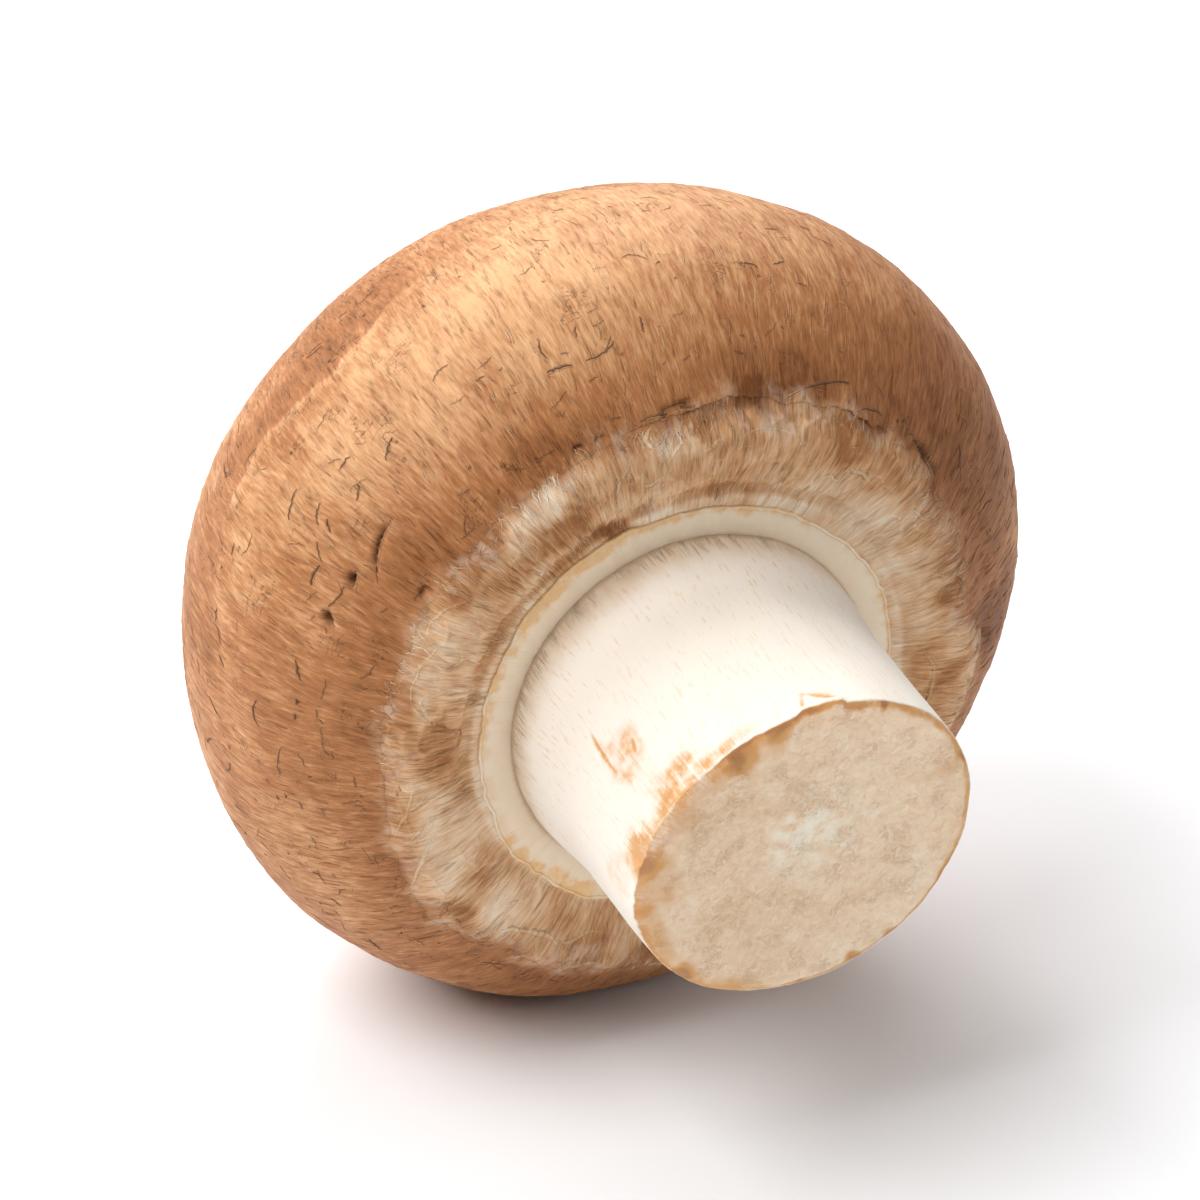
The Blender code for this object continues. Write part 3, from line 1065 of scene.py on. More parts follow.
@dataclass(frozen=True)
class SkinCracks:
    """Thin dark cracks in the skin, mostly across its fibres, each with a pale raised lip below it."""

    skin: CapSkin
    count: int = 460
    seed: int = 111
    knots: int = 9
    known: Rows = (
        (71, 37.6, 0.9, 0.12, 20, 0.2), (76, 37.8, 1.1, 0.12, -8, 0.3), (95, 40.8, 1, 0.13, 78, 0.2),
        (102, 41.7, 1.9, 0.14, 12, -0.2), (108.5, 41.4, 1.4, 0.19, -8, 0.3),
        (104, 39.9, 0.7, 0.10, 70, 0.3), (109.5, 40, 1.4, 0.12, 84, 0.3), (134, 39.3, 1.3, 0.12, 28, 0.3),
        (139.5, 37.9, 0.9, 0.12, 8, 0.5), (141, 39.7, 1, 0.14, 35, -0.3), (147, 38.4, 1.2, 0.12, 30, 0.5),
        (147.3, 39.4, 0.8, 0.17, 60, 0.4), (148.5, 36.6, 1.7, 0.13, 22, 0.2),
        (151, 39.7, 1.1, 0.12, 50, 0.2), (154, 40.1, 1.2, 0.19, 3, 0.3), (153.5, 29.5, 1.4, 0.14, 80, 0.3),
        (155, 42, 1.5, 0.12, -14, -0.3), (159, 34.2, 0.7, 0.13, 10, 0.2), (168, 41.2, 1.2, 0.17, 32, 0.2),
        (168.7, 34.3, 0.9, 0.15, 5, 0.3), (171, 35, 1, 0.12, 50, 0.3), (174, 35.6, 0.8, 0.15, 60, 0.2),
        (173, 41.5, 0.3, 0.19, 0, 0), (175.6, 41.5, 0.35, 0.22, 0, 0), (178, 38.6, 1.7, 0.16, 10, 0.5),
        (182.5, 35, 1.5, 0.17, 58, 0.3), (184, 40.4, 1.9, 0.10, -8, 0.2),
        (189.5, 33.6, 1.4, 0.15, -50, 0.3), (191, 36, 1.3, 0.13, -40, -0.4),
        (190.5, 40.6, 0.35, 0.15, 0, 0), (205.6, 40.9, 0.5, 0.19, 80, 0), (212, 41.1, 0.8, 0.16, 20, 0.4),
        (223.5, 40.8, 1.3, 0.22, -8, 0.3), (98, 46, 1.6, 0.16, -5, 0.2), (21, 44.4, 1.2, 0.13, 70, 0.2),
        (33, 44.6, 1.3, 0.13, -60, 0.3), (57, 45.8, 2.2, 0.17, 12, 0.2), (68, 45.2, 4.6, 0.2, 20, 0.05),
        (145, 42.4, 2.9, 0.26, 20, 0.12), (151.3, 42.2, 0.9, 0.42, 18, 0.3),
        (158.5, 41.9, 0.9, 0.46, 42, 0.4), (147, 46.1, 0.6, 0.42, 10, 0), (218.5, 47.2, 2.2, 0.34, 80, 0.1),
        (94, 46, 2, 0.24, 6, 0.2), (41, 46.3, 2.6, 0.3, -18, 0.1), (60.5, 48, 1.2, 0.36, 14, 0.2),
    )

    def drawn(self) -> Array:
        """The cracks' sizes.

        Returns:
            (count, 6): angle, length along, length, width, slant and bend of the known ones, and of ones
            drawn at random, more of them towards the margin.
        """
        draw = np.random.default_rng(self.seed)
        dots = draw.random(self.count) < 0.3
        along = 46.0 - 40.0 * draw.random(self.count) ** 1.6
        near = self.skin.form.radius_at(along) / self.skin.form.radius
        rows = [
            draw.uniform(0.0, 360.0, self.count),
            along,
            np.where(dots, draw.uniform(0.15, 0.3, self.count), draw.uniform(0.4, 1.4, self.count)),
            np.where(dots, draw.uniform(0.09, 0.15, self.count), draw.uniform(0.05, 0.11, self.count)),
            draw.normal(0.0, 32.0, self.count),
            draw.normal(0.0, 0.35, self.count),
        ]
        kept = np.stack(rows, axis=1)[draw.random(self.count) < near]
        return np.concatenate([np.array(self.known), kept])

    def build(self, finish: Finish) -> Piece:
        """Makes the cracks and their lips.

        Args:
            finish: the skin's material.

        Returns:
            One piece of flat strands. A crack's spine is a bent and slightly jagged line on the skin; its lip
            follows it a little nearer to the margin.
        """
        sizes = self.drawn()
        draw = np.random.default_rng(self.seed + 1)
        turned, start, length, width, slant, bend = (sizes[:, column, None] for column in range(6))
        tilt = np.radians(slant)
        way = np.linspace(-0.5, 0.5, self.knots)[None, :] * length
        jag = draw.normal(0.0, 0.035, (len(sizes), self.knots)) + bend * way**2
        across = way * np.cos(tilt) - jag * np.sin(tilt)
        lines = []
        for ahead in (0.0, 0.55):
            along = start + way * np.sin(tilt) + jag * np.cos(tilt) + ahead * (width + 0.05) * np.cos(tilt)
            around = np.radians(turned) + across / np.maximum(self.skin.form.radius_at(along), 2.0)
            lines.append((around, along))
        around, along = (np.concatenate(parts) for parts in zip(*lines))
        lip = np.repeat([0.0, 1.0], len(sizes))[:, None]
        place, _, normal = self.skin.form.frame_at(around, along)
        height, _ = self.skin.relief(around, along)
        spines = place + normal * (height + 0.012 - 0.01 * lip)[..., None]
        along_line = np.gradient(spines, axis=1)
        along_line /= np.linalg.norm(along_line, axis=-1, keepdims=True) + TINY
        taper = np.sin(math.pi * np.linspace(0.08, 0.92, self.knots))[None, :] ** 0.7
        widths = np.concatenate([width, 0.6 * width]) * taper * draw.uniform(0.7, 1.2, (len(lip), self.knots))
        depth = np.where(np.arange(len(sizes)) < len(self.known), 0.72, draw.uniform(0.25, 0.6, len(sizes)))
        dark = np.concatenate([depth, np.zeros(len(sizes))])[:, None]
        traits = self.skin.traits(around, along, dark, 1.6 * lip)
        sideways = np.cross(along_line, normal)
        return strand_piece("cap_cracks", spines, sideways, normal, widths, 0.25, traits, finish)


# ---- veil, collar and stem


@dataclass(frozen=True)
class Veil:
    """The pale membrane that closes the underside, from under the skin's edge to the collar."""

    skin: CapSkin
    turns: int = 1100
    rows: int = 84
    outer: float = 43.9
    inner: float = 53.7

    def seams_at(self, place: Array) -> Array:
        """Thin raised lines where the membrane folded.

        Args:
            place: points of the plain surface.

        Returns:
            0 to 1: a narrow bell where a slow twisted noise is near its middle, in some places only.
        """
        grain = Grain(Pattern.VEIL_SEAMS)
        shifts = (0.0, 9.0, 18.0)
        twist = place / 3.0 + 0.5 * np.stack([grain.at(place / 2.0 + shift) for shift in shifts], axis=-1)
        return np.exp(-((grain.at(twist) / 0.055) ** 2)) * smooth(-0.25, 0.2, grain.at(place / 4.0 + 40.0))

    def relief(self, around: Array, along: Array) -> Array:
        """The membrane's height over the plain form.

        Args:
            around: angle about the axis.
            along: length down the meridian.

        Returns:
            Height in millimetres: the cap's slow swells, sunk a little at the skin's edge and more under it,
            with drawn-out cottony ridges, soft tufts and thin seams, and a groove outside the collar.
        """
        around, along = np.broadcast_arrays(around, along)
        grain = Grain(Pattern.VEIL_RELIEF)
        place = self.skin.form.at(around, along)
        sway = around + 0.02 * grain.layers(place / 2.6, 2)
        to_edge = self.skin.edge_at(around) - along
        sink = -0.05 * smooth(-0.9, 0.1, to_edge) - 0.33 * smooth(0.0, 1.2, to_edge)
        ridges = 1.0 - np.abs(grain.at(strand_space(sway, along, 36.0, 2.2))) * 2.0
        fine = 1.0 - np.abs(grain.at(strand_space(sway, along, 95.0, 1.4) + 3.0)) * 2.0
        tufts = grain.layers(place / 1.9 + 11.0, 3)
        torn = turn_between(52.0, 98.0, 10.0, around) * (1.0 - smooth(47.0, 49.5, along))
        calm = smooth(0.3, -1.2, to_edge) * (1.0 - 0.7 * smooth(51.4, 52.6, along))
        detail = 0.025 * ridges + 0.015 * fine + (0.1 + 0.2 * torn) * tufts + 0.1 * self.seams_at(place)
        groove = (0.06 + 0.14 * turn_between(55.0, 180.0, 14.0, around)) * between(51.7, 52.0, 0.5, along)
        swells = self.skin.form.swells(place) * (1.0 - smooth(49.0, 52.0, along))
        return swells + sink + calm * detail - groove

    def build(self, finish: Finish) -> Piece:
        """Makes the veil as a closed ring: its outer face and a hidden back.

        Args:
            finish: the veil's material.

        Returns:
            The piece.
        """
        around = full_turn(self.turns)
        along = np.repeat(np.linspace(self.outer, self.inner, self.rows)[:, None], self.turns, axis=1)
        turn = np.repeat(around[None, :], self.rows, axis=0)
        place, _, normal = self.skin.form.frame_at(turn, along)
        height = self.relief(turn, along)
        face = place + normal * height[..., None]
        back = np.stack([face[-1] - [0.0, 0.0, 1.0], face[0] * [0.985, 0.985, 1.0] - [0.0, 0.0, 1.2]])
        hidden = np.zeros((2, self.turns))
        traits = self.skin.traits(
            np.concatenate([turn, turn[:2]]),
            np.concatenate([along, along[-1:], along[:1]]),
            0.0,
            np.concatenate([self.seams_at(place), hidden]),
        )
        return turned_piece("veil_membrane", np.concatenate([face, back]), traits, finish, ring=True)


@dataclass(frozen=True)
class VeilThreads:
    """Cottony threads that run over the veil.

    Stray is how far their directions scatter, in radians, and tone how pale they are. At_most holds down
    the way to the skin's edge: at 0 or less they keep the veil's finish.
    """

    veil: Veil
    name: str = "veil_threads"
    count: int = 1500
    low: float = 46.6
    high: float = 52.0
    length: Pair = (0.5, 1.8)
    width: Pair = (0.03, 0.08)
    lift: float = 0.03
    seed: int = 201
    stray: float = 0.16
    curl: float = 0.12
    tone: float = 0.1
    at_most: float = 0.0
    knots: int = 7

    def starts(self, draw: np.random.Generator) -> tuple[Array, Array]:
        """Where the threads start: at random over the veil, more of them where slow noise is high.

        Args:
            draw: the source of chance.

        Returns:
            Angle about the axis and length down the meridian of each start.
        """
        around = draw.uniform(0.0, math.tau, self.count * 3)
        start = draw.uniform(self.low, self.high, self.count * 3)
        gather = Grain(Pattern.THREAD_CLUMPS).at(self.veil.skin.form.at(around, start) / 2.3)
        keep = draw.random(self.count * 3) < 0.25 + 0.9 * np.clip(gather + 0.1, 0.0, 1.0)
        return around[keep][: self.count], start[keep][: self.count]

    def build(self, finish: Finish) -> Piece:
        """Makes the threads.

        Args:
            finish: the veil's material.

        Returns:
            One piece. A thread's spine runs towards the collar, with stray, curl and a slight wave, and
            arches off the membrane by a random share of the lift.
        """
        draw = np.random.default_rng(self.seed)
        form, skin = self.veil.skin.form, self.veil.skin
        around, start = (part[:, None] for part in self.starts(draw))
        count = len(start)
        way = np.linspace(0.0, 1.0, self.knots)[None, :]
        length = draw.uniform(*self.length, count)[:, None]
        radius = form.radius_at(start)
        stray = draw.normal(0.0, self.stray, count)[:, None]
        curl = draw.normal(0.0, self.curl, count)[:, None]
        swing = way * draw.uniform(4.0, 11.0, count)[:, None]
        wave = 0.1 * self.curl * np.sin(swing + draw.uniform(0.0, 6.3, count)[:, None])
        along = np.minimum(start + length * way * np.cos(stray), self.veil.inner)
        around = around + (length * way * np.sin(stray) + curl * (way * length) ** 2 / 3.0 + wave) / radius
        place, down, normal = form.frame_at(around, along)
        height = np.maximum(self.veil.relief(around, along), form.swells(place) - 0.05)
        lift = draw.uniform(0.0, self.lift, count)[:, None] * np.sin(math.pi * np.clip(way * 1.15, 0.0, 1.0))
        spines = place + normal * (height + lift)[..., None]
        width = draw.uniform(*self.width, count)[:, None] * np.sin(math.pi * (0.08 + 0.84 * way)) ** 0.6
        traits = skin.traits(around, along, 0.0, draw.normal(self.tone, 0.5, count)[:, None])
        traits["to_edge"] = np.minimum(traits["to_edge"], self.at_most)
        return strand_piece(self.name, spines, np.cross(down, normal), normal, width, 0.3, traits, finish)


@dataclass(frozen=True)
class Wisps(VeilThreads):
    """White wisps of torn veil that lie over the skin's edge, in tufts of (angle, length along, spread)."""

    name: str = "veil_wisps"
    count: int = 420
    length: Pair = (0.4, 1.4)
    width: Pair = (0.04, 0.11)
    lift: float = 0.05
    seed: int = 202
    stray: float = 1.0
    curl: float = 0.5
    tone: float = 2.4
    at_most: float = -3.0
    tufts: Rows = (
        (96.5, 47.5, 1), (90, 46.6, 0.8), (103, 46.9, 0.8), (118, 46.9, 1), (131, 47, 1.2), (142, 47.2, 1),
        (156, 46.9, 1), (164, 46.6, 1), (178, 46.8, 1), (21.5, 48.4, 1.2), (35, 48, 1), (8, 48.6, 1.2),
        (232, 47.4, 1.2), (247, 48.4, 1.4), (262, 48.2, 1.2),
    )

    def starts(self, draw: np.random.Generator) -> tuple[Array, Array]:
        """Where the wisps start: scattered about the middles of the tufts.

        Args:
            draw: the source of chance.

        Returns:
            Angle about the axis and length down the meridian of each start.
        """
        tufts = np.array(self.tufts)[draw.integers(0, len(self.tufts), self.count)]
        spread = tufts[:, 2]
        around = np.radians(tufts[:, 0] + draw.normal(0.0, 3.0, self.count) * spread)
        return around, tufts[:, 1] + draw.normal(0.0, 0.45, self.count) * spread - 0.4


@dataclass(frozen=True)
class Folds:
    """Narrow raised folds in the veil, mostly pale, each a line of (angle, length along)."""

    veil: Veil
    seed: int = 211
    scattered: int = 22
    samples: int = 26
    pale: tuple[Rows, ...] = (
        ((143, 48.4), (147, 47.6), (151, 47.2), (154, 47.3)),
        ((151, 48.6), (157, 47.9), (164, 47.7), (168, 48.2), (171, 49.5), (173, 50.9)),
        ((181, 49.6), (186, 48.4), (190, 48.2), (195, 47.2), (200, 46.6)),
        ((198, 49), (203, 48), (208, 46.9), (211, 46.3)), ((67, 49.2), (73, 48), (80, 47.8), (86, 48.6)),
        ((92, 46.9), (94.5, 47.9), (97, 48.5), (99, 49.5)), ((99, 46.5), (101, 47.2), (100, 47.9)),
        ((104, 47.8), (109, 49.2), (110, 51)), ((10, 51), (12, 50.2), (16, 49.6), (22, 49.4)),
        ((15, 47.6), (20, 47.2), (27, 47.4), (36, 47.1)), ((-16, 50.4), (-10, 50.2), (-3, 50.5), (0, 51)),
        ((226, 48.2), (232, 49.4), (240, 49.6), (246, 48.6)),
    )
    brown: tuple[Rows, ...] = (
        ((168.5, 48.6), (171.5, 49.8), (173.5, 51), (175.5, 51.6), (178.5, 51.3), (180.5, 49.9)),
        ((11, 49), (14, 48.6), (17, 48.9)), ((183, 48), (187, 47.5)),
        ((214, 48.8), (216, 47.6), (219, 46.6)),
    )

    def lines(self) -> tuple[Array, Array]:
        """The folds' lines.

        Returns:
            (lines, samples, 2) angles in degrees and lengths along: the pale ones, the brown ones and slack
            ones drawn at random, each through its few places and rounded off. And which are pale, 1 or 0.
        """
        draw = np.random.default_rng(self.seed)
        chance = []
        for _ in range(self.scattered):
            first = np.array([draw.uniform(0.0, 360.0), draw.uniform(47.6, 50.8)])
            steps = np.cumsum(draw.normal([2.6, 0.1], [1.0, 0.5], (4, 2)), axis=0)
            chance.append(tuple(map(tuple, first + steps)))
        made = []
        for knots in (*self.pale, *self.brown, *chance):
            places = np.array(knots)
            at = np.linspace(0.0, len(places) - 1.0, self.samples)
            line = np.stack([np.interp(at, np.arange(len(places)), column) for column in places.T], axis=1)
            for _ in range(4):
                line[1:-1] = (line[:-2] + 2.0 * line[1:-1] + line[2:]) / 4.0
            made.append(line)
        pale = [1.0] * len(self.pale) + [0.0] * len(self.brown) + [1.0] * self.scattered
        return np.array(made), np.array(pale)

    def build(self, finish: Finish) -> Piece:
        """Makes the folds.

        Args:
            finish: the veil's material.

        Returns:
            One piece of low strands that follow the lines on the membrane, wavering a little.
        """
        lines, pale = self.lines()
        draw = np.random.default_rng(self.seed + 1)
        form, skin = self.veil.skin.form, self.veil.skin
        around, along = np.radians(lines[..., 0]), np.minimum(lines[..., 1], 52.4)
        waver = Grain(Pattern.FOLD_WAVER).layers(form.at(around, along) / 0.8, 2)
        along = along + 0.12 * waver
        place, _, normal = form.frame_at(around, along)
        height = np.maximum(self.veil.relief(around, along), form.swells(place) - 0.08)
        spines = place + normal * (height - 0.02)[..., None]
        on = np.gradient(spines, axis=1)
        on /= np.linalg.norm(on, axis=-1, keepdims=True) + TINY
        taper = np.sin(math.pi * np.linspace(0.04, 0.96, self.samples)) ** 0.8
        widths = draw.uniform(0.2, 0.42, len(lines))[:, None] * taper * (1.0 + 0.5 * waver)
        traits = skin.traits(around, along, 0.5 * (1.0 - pale)[:, None], (2.6 * pale - 1.6)[:, None])
        traits["to_edge"] = np.minimum(traits["to_edge"], -2.0)
        return strand_piece("veil_folds", spines, np.cross(on, normal), normal, widths, 0.4, traits, finish)


@dataclass(frozen=True)
class Collar:
    """The cream band around the stem, with the thin browned lip where the veil tore from it.

    Lip_line is (angle, radius); browned is (from, to, amount).
    """

    turns: int = 1000
    band_rows: int = 40
    lip_line: Rows = (
        (0, 12.05), (20, 12.35), (45, 12.15), (100, 12.2), (111, 12.65), (140, 12.65), (150, 12.4),
        (200, 12.35), (214, 12.65), (244, 12.65), (262, 12.3), (330, 12.05),
    )
    base: float = 10.2
    lip_height: float = 11.56
    crease_radius: float = 10.24
    crease_height: float = 11.6
    centre_drop: float = 0.15
    lip_rounding: float = 0.09
    browned: Rows = (
        (-12, 20, 0.6), (58, 104, 0.75), (105, 178, 0.95), (213, 248, 1), (290, 330, 0.8),
    )

    def section(self, around: Array) -> tuple[Array, Array]:
        """The band's closed section at each angle.

        Args:
            around: angles about the axis.

        Returns:
            (rows, turns, 3) points: up the outer wall, over the rounded lip, along the band to the crease at
            the stem, and down inside it; and how far each row is past the lip. The lip wanders and is
            nicked; the band bulges slightly and has fine ridges across it.
        """
        grain = Grain(Pattern.COLLAR_RELIEF)
        ring = around * 0.0
        ragged = grain.layers(strand_space(around, ring, 6.0, 1.0), 3)
        nick = np.clip(grain.layers(strand_space(around, ring + 4.0, 20.0, 1.0), 2), 0.0, 1.0)
        angles, radii = np.array(self.lip_line).T
        plain = np.interp(np.degrees(around), angles, radii, period=360.0)
        lip = plain + 0.15 * ragged - 0.12 * nick
        top = self.lip_height + 0.35 * (plain - radii.min()) + 0.04 * ragged - 0.08 * nick
        wall = np.linspace(0.0, 1.0, 7)[:-1, None]
        bend = np.linspace(0.0, math.pi, 7)[:, None]
        band = np.linspace(0.0, 1.0, self.band_rows)[1:, None]
        inside = np.array([0.02, 0.1, 0.25])[:, None]
        round_r = lip - self.lip_rounding * (1.0 - np.cos(bend))
        round_h = top + self.lip_rounding * np.sin(bend)
        start = lip - 2.0 * self.lip_rounding
        band_r = start + (self.crease_radius - start) * band
        slow = grain.at(strand_space(around[None, :], band * 2.0, 14.0, 2.0))
        ridges = 1.0 - np.abs(grain.at(strand_space(around[None, :], band * 2.0, 75.0, 1.3))) * 2.0
        fade = np.sin(math.pi * (0.1 + 0.85 * band))
        band_h = top + (self.crease_height - top) * band + (0.06 + 0.012 * ridges + 0.06 * slow) * fade
        inner_r = np.repeat(self.crease_radius - inside, self.turns, axis=1)
        inner_h = np.repeat(self.crease_height - inside * [[1.0], [4.0], [8.0]], self.turns, axis=1)
        radius = np.concatenate([(lip - 0.3) + 0.3 * wall, round_r, band_r, inner_r])
        height = np.concatenate([self.base + (top - self.base) * wall, round_h, band_h, inner_h])
        past_lip = np.concatenate([wall * 2.0 - 2.0, 0.06 * bend, 0.2 + 2.0 * band, 2.3 + inside])[:, 0]
        points = [radius * np.cos(around), radius * np.sin(around) - self.centre_drop, height]
        return np.stack(points, axis=-1), past_lip

    def build(self, finish: Finish) -> Piece:
        """Makes the collar.

        Args:
            finish: its material.

        Returns:
            The piece, a closed ring.
        """
        around = full_turn(self.turns)
        grid, past_lip = self.section(around)
        turn = np.repeat(around[None, :], len(grid), axis=0)
        radius = np.hypot(grid[..., 0], grid[..., 1] + self.centre_drop)
        streak = Grain(Pattern.COLLAR_BROWN).layers(strand_space(turn, radius, 13.0, 1.0), 5)
        share = 0.3 + sum(amount * turn_between(low, high, 4.0, around) for low, high, amount in self.browned)
        browned = share * smooth(11.6, 12.25, radius + 0.3 * streak) * np.clip(0.9 + 1.1 * streak, 0.3, 1.3)
        traits = {
            "fibre": fibre_space(turn, past_lip[:, None]),
            "past_lip": np.repeat(past_lip[:, None], self.turns, axis=1),
            "browned": np.clip(browned, 0.0, 1.0),
        }
        return turned_piece("collar", grid, traits, finish, ring=True)


@dataclass(frozen=True)
class Stem:
    """The stem with its cut foot.

    Blots (Patch) and scratches (Mark) lie on the side by angle and height, knots (Patch) on the face by
    angle and way in. Torn is the range of angles where the foot's edge is torn.
    """

    turns: int = 700
    side_rows: int = 98
    face_rows: int = 38
    top_radius: float = 10.3
    waist_radius: float = 9.85
    foot_radius: float = 9.75
    foot_height: float = 26.8
    slant: float = math.tan(math.radians(8.5))
    drop: float = 0.3
    rim: float = 0.22
    root: float = 9.3
    middling_radius: float = 10.0
    torn: Pair = (118.0, 196.0)
    knots: Rows = (
        (309, 0.3, 2.2, 0.4, 1.3), (294, 0.3, 2.4, 0.4, 1.3), (276, 0.3, 1.6, 0.4, 0.9),
        (227, 0.5, 4, 0.7, 0.9), (68, 0.15, 1.6, 0.3, 1.3), (98, 0.2, 3, 0.5, 0.6),
        (122, 0.9, 6.5, 0.8, 0.75), (107, 0.7, 4.5, 0.7, 0.6), (95, 0.9, 6, 0.6, 0.4), (25, 1, 4, 1.1, 0.6),
        (171, 0.4, 6, 0.9, 0.6), (191, 0.3, 2.5, 0.5, 0.4), (190, 2.4, 8, 1, 0.2), (203, 0.5, 9, 0.8, 0.3),
        (335, 0.4, 12, 0.5, 0.4),
    )
    blots: Rows = (
        (140, 26.5, 11, 1.6, 0.85), (124, 27.3, 12, 0.6, 0.6), (157, 26.9, 12, 1, 0.7),
        (169, 26.2, 9, 1.8, 1), (184, 24.2, 8, 1.3, 0.35), (146, 21.6, 5, 1.4, 0.42),
        (154.5, 21.3, 4, 2, 0.5), (150, 23.8, 7, 1.8, 0.3), (88, 27, 5, 0.8, 0.25), (300, 24, 6, 1.6, 0.4),
        (335, 22, 5, 1.4, 0.3),
    )
    scratches: Rows = (
        (156, 19.8, 3.2, 0.12, 0, 84, 0.03), (88, 26.95, 2.4, 0.14, 0, -34),
        (95.2, 27.05, 1.7, 0.14, 0, 68), (192, 26.6, 1.4, 0.14, 0, -47), (168, 26, 2, 0.14, 0, 60),
        (173, 26.7, 1.6, 0.12, 0, -50), (145.5, 21.9, 0.8, 0.10, 0, 70),
    )

    def radius_at(self, around: Array, height: Array) -> Array:
        """Distance from the axis of the plain side.

        Args:
            around: angle about the axis.
            height: along the axis.

        Returns:
            Waisted, thicker at the left of the collar, and towards the foot swelled by 2 and 3 lobes.
        """
        waist = self.top_radius + (self.waist_radius - self.top_radius) * smooth(11.5, 18.0, height)
        plain = waist + (self.foot_radius - self.waist_radius) * smooth(19.0, 26.5, height)
        foot = smooth(17.0, 27.0, height)
        off = around - math.radians(58.0)
        lobes = 0.15 * np.cos(2.0 * off) + 0.11 * np.cos(3.0 * off)
        crowded = 0.14 * turn_between(105.0, 212.0, 20.0, around) * (1.0 - smooth(12.5, 17.0, height))
        return plain + foot * lobes + crowded

    def foot_at(self, y: Array) -> Array:
        """Height of the cut plane, which slants with the way up."""
        return self.foot_height + self.slant * y

    def stain_at(self, around: Array, height: Array, to_cut: Array) -> Array:
        """Brown on the side.

        Args:
            around: angle about the axis.
            height: along the axis.
            to_cut: how far above the cut edge, in millimetres.

        Returns:
            0 to 1: the browned rim, or the ragged blots with the scratches, whichever is more.
        """
        grain = Grain(Pattern.STEM_STAIN)
        blot = grain.layers(strand_space(around, height, 11.0, 0.9), 3)
        streak = grain.layers(strand_space(around, height, 34.0, 2.6) + 9.0, 2)
        ragged = np.clip(0.95 + 0.6 * blot + 0.3 * streak, 0.0, 1.6)
        reach = 0.26 + 0.12 * blot + 0.7 * turn_between(205.0, 245.0, 14.0, around)
        rim = 0.75 * (1.0 - smooth(0.0, reach, to_cut))
        wide = self.middling_radius
        place = np.stack([wide * np.cos(around), wide * np.sin(around), height + 0.0 * around], axis=-1)
        blots = patched(self.blots, around, height, place) * ragged
        radius = self.radius_at(around, height)
        scratches = sum(Mark(*row).cover(around, height, radius) for row in self.scratches)
        return np.clip(np.maximum(rim, blots + 0.8 * scratches), 0.0, 1.0)

    @staticmethod
    def pith_at(spot: Array) -> Array:
        """How pale the pith is, 0 to 1, at places on the cut face: a ragged bell beside the middle."""
        off = ((spot[..., 0] + 0.2) / 1.9) ** 2 + ((spot[..., 1] - 0.9) / 2.0) ** 2
        return np.clip(np.exp(-off) * (1.1 + 2.6 * Grain(Pattern.PITH).layers(spot / 1.1, 4)), 0.0, 1.0)

    def side(self, around: Array, height: Array, to_cut: Array) -> Array:
        """Points of the side with its relief.

        Args:
            around: angle about the axis.
            height: along the axis.
            to_cut: how far above the cut edge.

        Returns:
            The plain side moved out by long silky ridges, slow dents, and a curled torn edge near the cut.
        """
        grain = Grain(Pattern.STEM_SIDE)
        radius = self.radius_at(around, height)
        silk = 0.005 * grain.at(strand_space(around, height, 42.0, 6.0))
        dents = grain.at(strand_space(around, height, 3.0, 4.5)) * 0.09
        torn = turn_between(*self.torn, 10.0, around) + 0.2
        near_cut = np.exp(-((to_cut / 0.8) ** 2))
        curl = grain.layers(strand_space(around, height, 12.0, 1.2), 2) * near_cut * 0.12 * torn
        lip = 0.3 * turn_between(85.0, 97.0, 3.0, around) * between(0.0, 0.5, 0.3, to_cut)
        out = radius + silk + dents + curl + lip - 0.06 * self.stain_at(around, height, to_cut)
        drop = self.drop * smooth(12.0, self.foot_height, height)
        return np.stack([out * np.cos(around), out * np.sin(around) - drop, height], axis=-1)

    def side_traits(self, around: Array, height: Array, to_cut: Array) -> dict[str, Array]:
        """What the finish reads on the side: no cut and no pith, and the stains.

        Args:
            around: angle about the axis.
            height: along the axis.
            to_cut: how far above the cut edge.

        Returns:
            The named values.
        """
        blank = np.zeros_like(height)
        stain = self.stain_at(around, height, to_cut)
        return {
            "fibre": fibre_space(around, height),
            "height": height,
            "cut": blank,
            "stain": stain,
            "pith": blank,
        }

    def face(self, ring: Array, notch: Array, inwards: Array) -> tuple[Array, Array]:
        """The cut face: the rim's outline drawn in towards the middle.

        Args:
            ring: (turns, 2) outline of the rim.
            notch: how far the rim stands out at each angle.
            inwards: (rows, 1) ways in from the rim.

        Returns:
            (rows, turns, 3) points, on the slanting plane with a granular relief and rounded off at the rim;
            and the same points laid level, where noise is looked up.
        """
        drawn = np.clip(1.0 - inwards / np.linalg.norm(ring, axis=1)[None, :], 0.02, 1.0)[..., None]
        flat = ring[None] * drawn + np.array([0.0, -self.drop]) * (1.0 - drawn)
        spot = np.concatenate([flat, np.zeros_like(flat[..., :1])], axis=-1)
        grain = Grain(Pattern.CUT_FACE)
        rough = 0.035 * grain.layers(spot / 0.5, 2) + 0.05 * grain.at(spot / 1.7 + 5.0)
        rough = rough + 0.09 * grain.at(spot / 4.5)
        round_off = self.rim * (1.0 - smooth(0.0, 0.55, inwards))
        level = smooth(0.0, 0.8, inwards)
        height = self.foot_at(flat[..., 1]) + rough * level - round_off + notch[None] * (1.0 - level)
        return np.concatenate([flat, height[..., None]], axis=-1), spot

